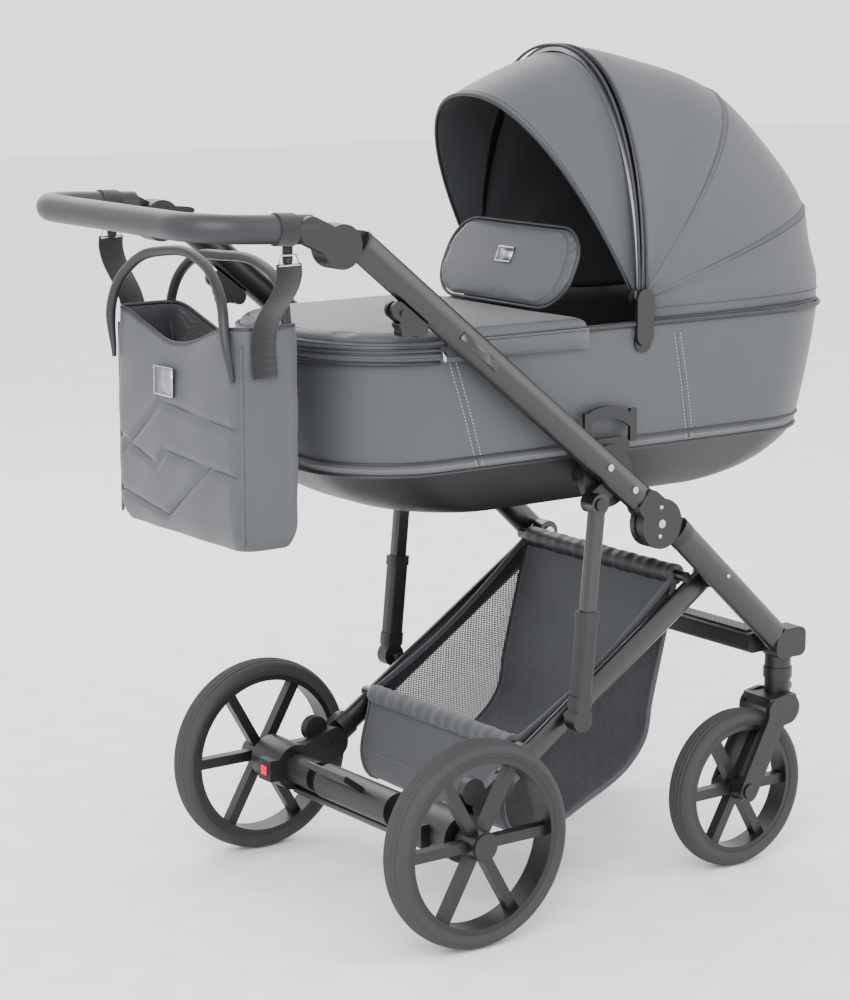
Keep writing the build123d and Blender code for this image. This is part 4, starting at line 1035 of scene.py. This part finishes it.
# ---- wheels and small parts ----------------------------------------------------------
def tyre_profile(radius, width, depth):
    """Closed section of a foam tyre: round tread with grooves, and a line on each wall."""
    half, points = width / 2, []
    for k in range(73):
        turn = math.pi * (k / 72 - 0.5)
        y = half * math.sin(turn)
        r = radius - 0.62 * depth * (1 - abs(math.cos(turn)) ** 0.75)
        for groove in (-0.5, -0.18, 0.18, 0.5):
            r -= 1.7 * MM * math.exp(-((y - groove * half) / (1.1 * MM)) ** 2)
        points.append((r, y))
    foot = radius - depth
    points += [(foot + 0.3 * depth, 0.93 * half), (foot + 0.22 * depth, 0.86 * half), (foot, 0.84 * half)]
    return points + [(r, -y) for r, y in reversed(points[-3:])]


class STROLLER_OT_tyres(bpy.types.Operator):
    """Four foam tyres with grooved treads"""
    bl_idname = "stroller.tyres"
    bl_label = "Tyres"

    def execute(self, context):
        for end in ("rear", "front"):
            for title, _ in SIDES:
                node = f"{end}_tyre_{title}"
                lo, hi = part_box(node)
                rim_lo, rim_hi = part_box(f"{end}_rim_{title}")
                radius, rim_radius = (hi.x - lo.x) / 2, (rim_hi.x - rim_lo.x) / 2
                piece = lathe(node + "_tread",
                              tyre_profile(radius, hi.y - lo.y, radius - rim_radius + 1 * MM),
                              (lo + hi) / 2, LOOK["eva_tyre_foam"], 160)
                place(piece, f"{end}_wheel_{title}", "foam_tyre", node)
        return {"FINISHED"}


class STROLLER_OT_mattress(bpy.types.Operator):
    """Mattress in the carrycot"""
    bl_idname = "stroller.mattress"
    bl_label = "Mattress"

    def execute(self, context):
        lo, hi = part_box("cot_mattress")
        inset = 2 * MM
        outline = [Vector((x, y, 0)) for x, y in
                   rounded_outline(lo.x + inset, hi.x - inset, hi.y - inset, 125 * MM)]
        pad = crowned("mattress", outline, lo.z, hi.z - 4 * MM, 3 * MM, 14, LOOK["lining_cloth"])
        puff(pad, 6 * MM, 4.0, 5 * MM)
        place(pad, "carrycot", "grey_fabric", "cot_mattress")
        return {"FINISHED"}


# heads of rivets and bolts: body, node they are set in, and their place as shares of its length and height
HEADS = (
    ("handle_frame", "fold_joint_covers", ((0.54, 0.65), (0.52, 0.20))),
    ("front_frame", "front_tubes", ((0.43, 0.60),)),
    ("rear_legs", "rear_leg_right", ((0.92, 0.965), (0.288, 0.344))),
    ("rear_legs", "rear_knuckles", ((0.45, 0.36),)),
)


class STROLLER_OT_small_parts(bpy.types.Operator):
    """Bolt heads, the blank plate on the tube and the footrest's holes"""
    bl_idname = "stroller.small_parts"
    bl_label = "Small parts"

    def execute(self, context):
        for body in dict.fromkeys(body for body, _, _ in HEADS):
            spots = []
            for owner, node, shares in HEADS:
                if owner != body:
                    continue
                lo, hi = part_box(node)
                reach = max(abs(lo.y), abs(hi.y))
                spots += [(Vector((lo.x + (hi.x - lo.x) * a, side * reach, lo.z + (hi.z - lo.z) * b)),
                           Vector((0, side, 0)))
                          for a, b in shares for _, side in SIDES]
            domes(body + "_bolt_heads", spots, LOOK["zinc_plated_steel"], body, "dark_steel", 7 * MM,
                  3.4 * MM)
        lo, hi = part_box("handle_tube_right")
        down = Vector((hi.x - lo.x, 0, lo.z - hi.z)).normalized()
        middle = Vector((lo.x + 0.39 * (hi.x - lo.x), lo.y - 0.4 * MM, hi.z - 0.40 * (hi.z - lo.z)))
        plate = sweep("tube_plate", [middle - down * 38 * MM, middle + down * 38 * MM],
                      flat_section(13 * MM, 1.6 * MM),
                      LOOK["polished_nylon"], side=Vector((down.z, 0, -down.x)))
        place(plate, "handle_frame", "moulded_black_plastic")
        lo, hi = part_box("footrest_pad")
        holes = [(Vector((x, y, hi.z)), Vector((0, 0, 1)))
                 for x in np.linspace(lo.x + 6 * MM, hi.x - 6 * MM, 3)
                 for y in np.linspace(lo.y + 10 * MM, hi.y - 10 * MM, 40)]
        domes("footrest_holes", holes, LOOK["black_piping"], "front_frame", "moulded_black_plastic", 4 * MM,
              0.8 * MM)
        return {"FINISHED"}


# ---- stage ----------------------------------------------------------------------
def soft_light(name, watts, size, at, aim):
    lamp = bpy.data.lights.new(name, "AREA")
    lamp.energy, lamp.size = watts, size
    obj = bpy.data.objects.new(name, lamp)
    obj.location = at
    obj.rotation_euler = (Vector(aim) - Vector(at)).to_track_quat("-Z", "Y").to_euler()
    bpy.context.scene.collection.objects.link(obj)


class STROLLER_OT_stage(bpy.types.Operator):
    """Pale floor, soft studio lights and the camera"""
    bl_idname = "stroller.stage"
    bl_label = "Stage"

    def execute(self, context):
        far = 14.0
        floor = new_piece("floor", [Vector((x, y, 0)) for x,
                                    y in ((-far, -far), (far, -far), (far, far), (-far, far))],
                          [(0, 1, 2, 3)], [LOOK["studio_floor"]], smooth=False)
        world = context.scene.world or bpy.data.worlds.new("studio")
        context.scene.world = world
        world.use_nodes = True
        sky = world.node_tree.nodes["Background"]
        sky.inputs["Color"].default_value = linear("#f6f7f8")
        sky.inputs["Strength"].default_value = 2.1
        soft_light("key_light", 150, 2.4, (-2.6, -2.4, 3.0), (0, 0, 0.6))
        soft_light("fill_light", 45, 3.0, (2.8, -2.6, 2.0), (0, 0, 0.6))
        soft_light("back_light", 60, 2.5, (0.5, 3.0, 2.8), (0, 0, 0.7))
        lens = bpy.data.cameras.new("camera")
        lens.lens = 98.44
        camera = bpy.data.objects.new("camera", lens)
        camera.location = (-2.3090, -3.0932, 1.3088)
        camera.rotation_euler = (math.radians(78.94), 0, math.radians(-35.9))
        context.scene.collection.objects.link(camera)
        context.scene.camera = camera
        return {"FINISHED"}


STEPS = (STROLLER_OT_finishes, STROLLER_OT_cot, STROLLER_OT_apron, STROLLER_OT_flap, STROLLER_OT_hood,
         STROLLER_OT_bag, STROLLER_OT_basket, STROLLER_OT_tyres, STROLLER_OT_mattress,
         STROLLER_OT_small_parts, STROLLER_OT_stage)


class STROLLER_PT_looks(bpy.types.Panel):
    """Lists the stroller's pieces"""
    # Shows the stroller's sizes, colours and a button for each step
    bl_idname = "STROLLER_PT_looks"
    bl_label = "Stroller"
    bl_space_type = "VIEW_3D"
    bl_region_type = "UI"
    bl_category = "Stroller"

    def draw(self, context):
        for group in (context.scene.stroller_sizes, context.scene.stroller_colours):
            for name in group.__annotations__:
                self.layout.prop(group, name)
        for step in STEPS:
            self.layout.operator(step.bl_idname)


CLASSES = (StrollerSizes, StrollerColours) + STEPS + (STROLLER_PT_looks,)


def register():
    for cls in CLASSES:
        bpy.utils.register_class(cls)
    bpy.types.Scene.stroller_sizes = bpy.props.PointerProperty(type=StrollerSizes)
    bpy.types.Scene.stroller_colours = bpy.props.PointerProperty(type=StrollerColours)


def unregister():
    del bpy.types.Scene.stroller_colours
    del bpy.types.Scene.stroller_sizes
    for cls in reversed(CLASSES):
        bpy.utils.unregister_class(cls)


def main():
    register()
    for step in STEPS:
        getattr(bpy.ops.stroller, step.bl_idname.split(".")[1])()


if __name__ == "__main__":
    main()
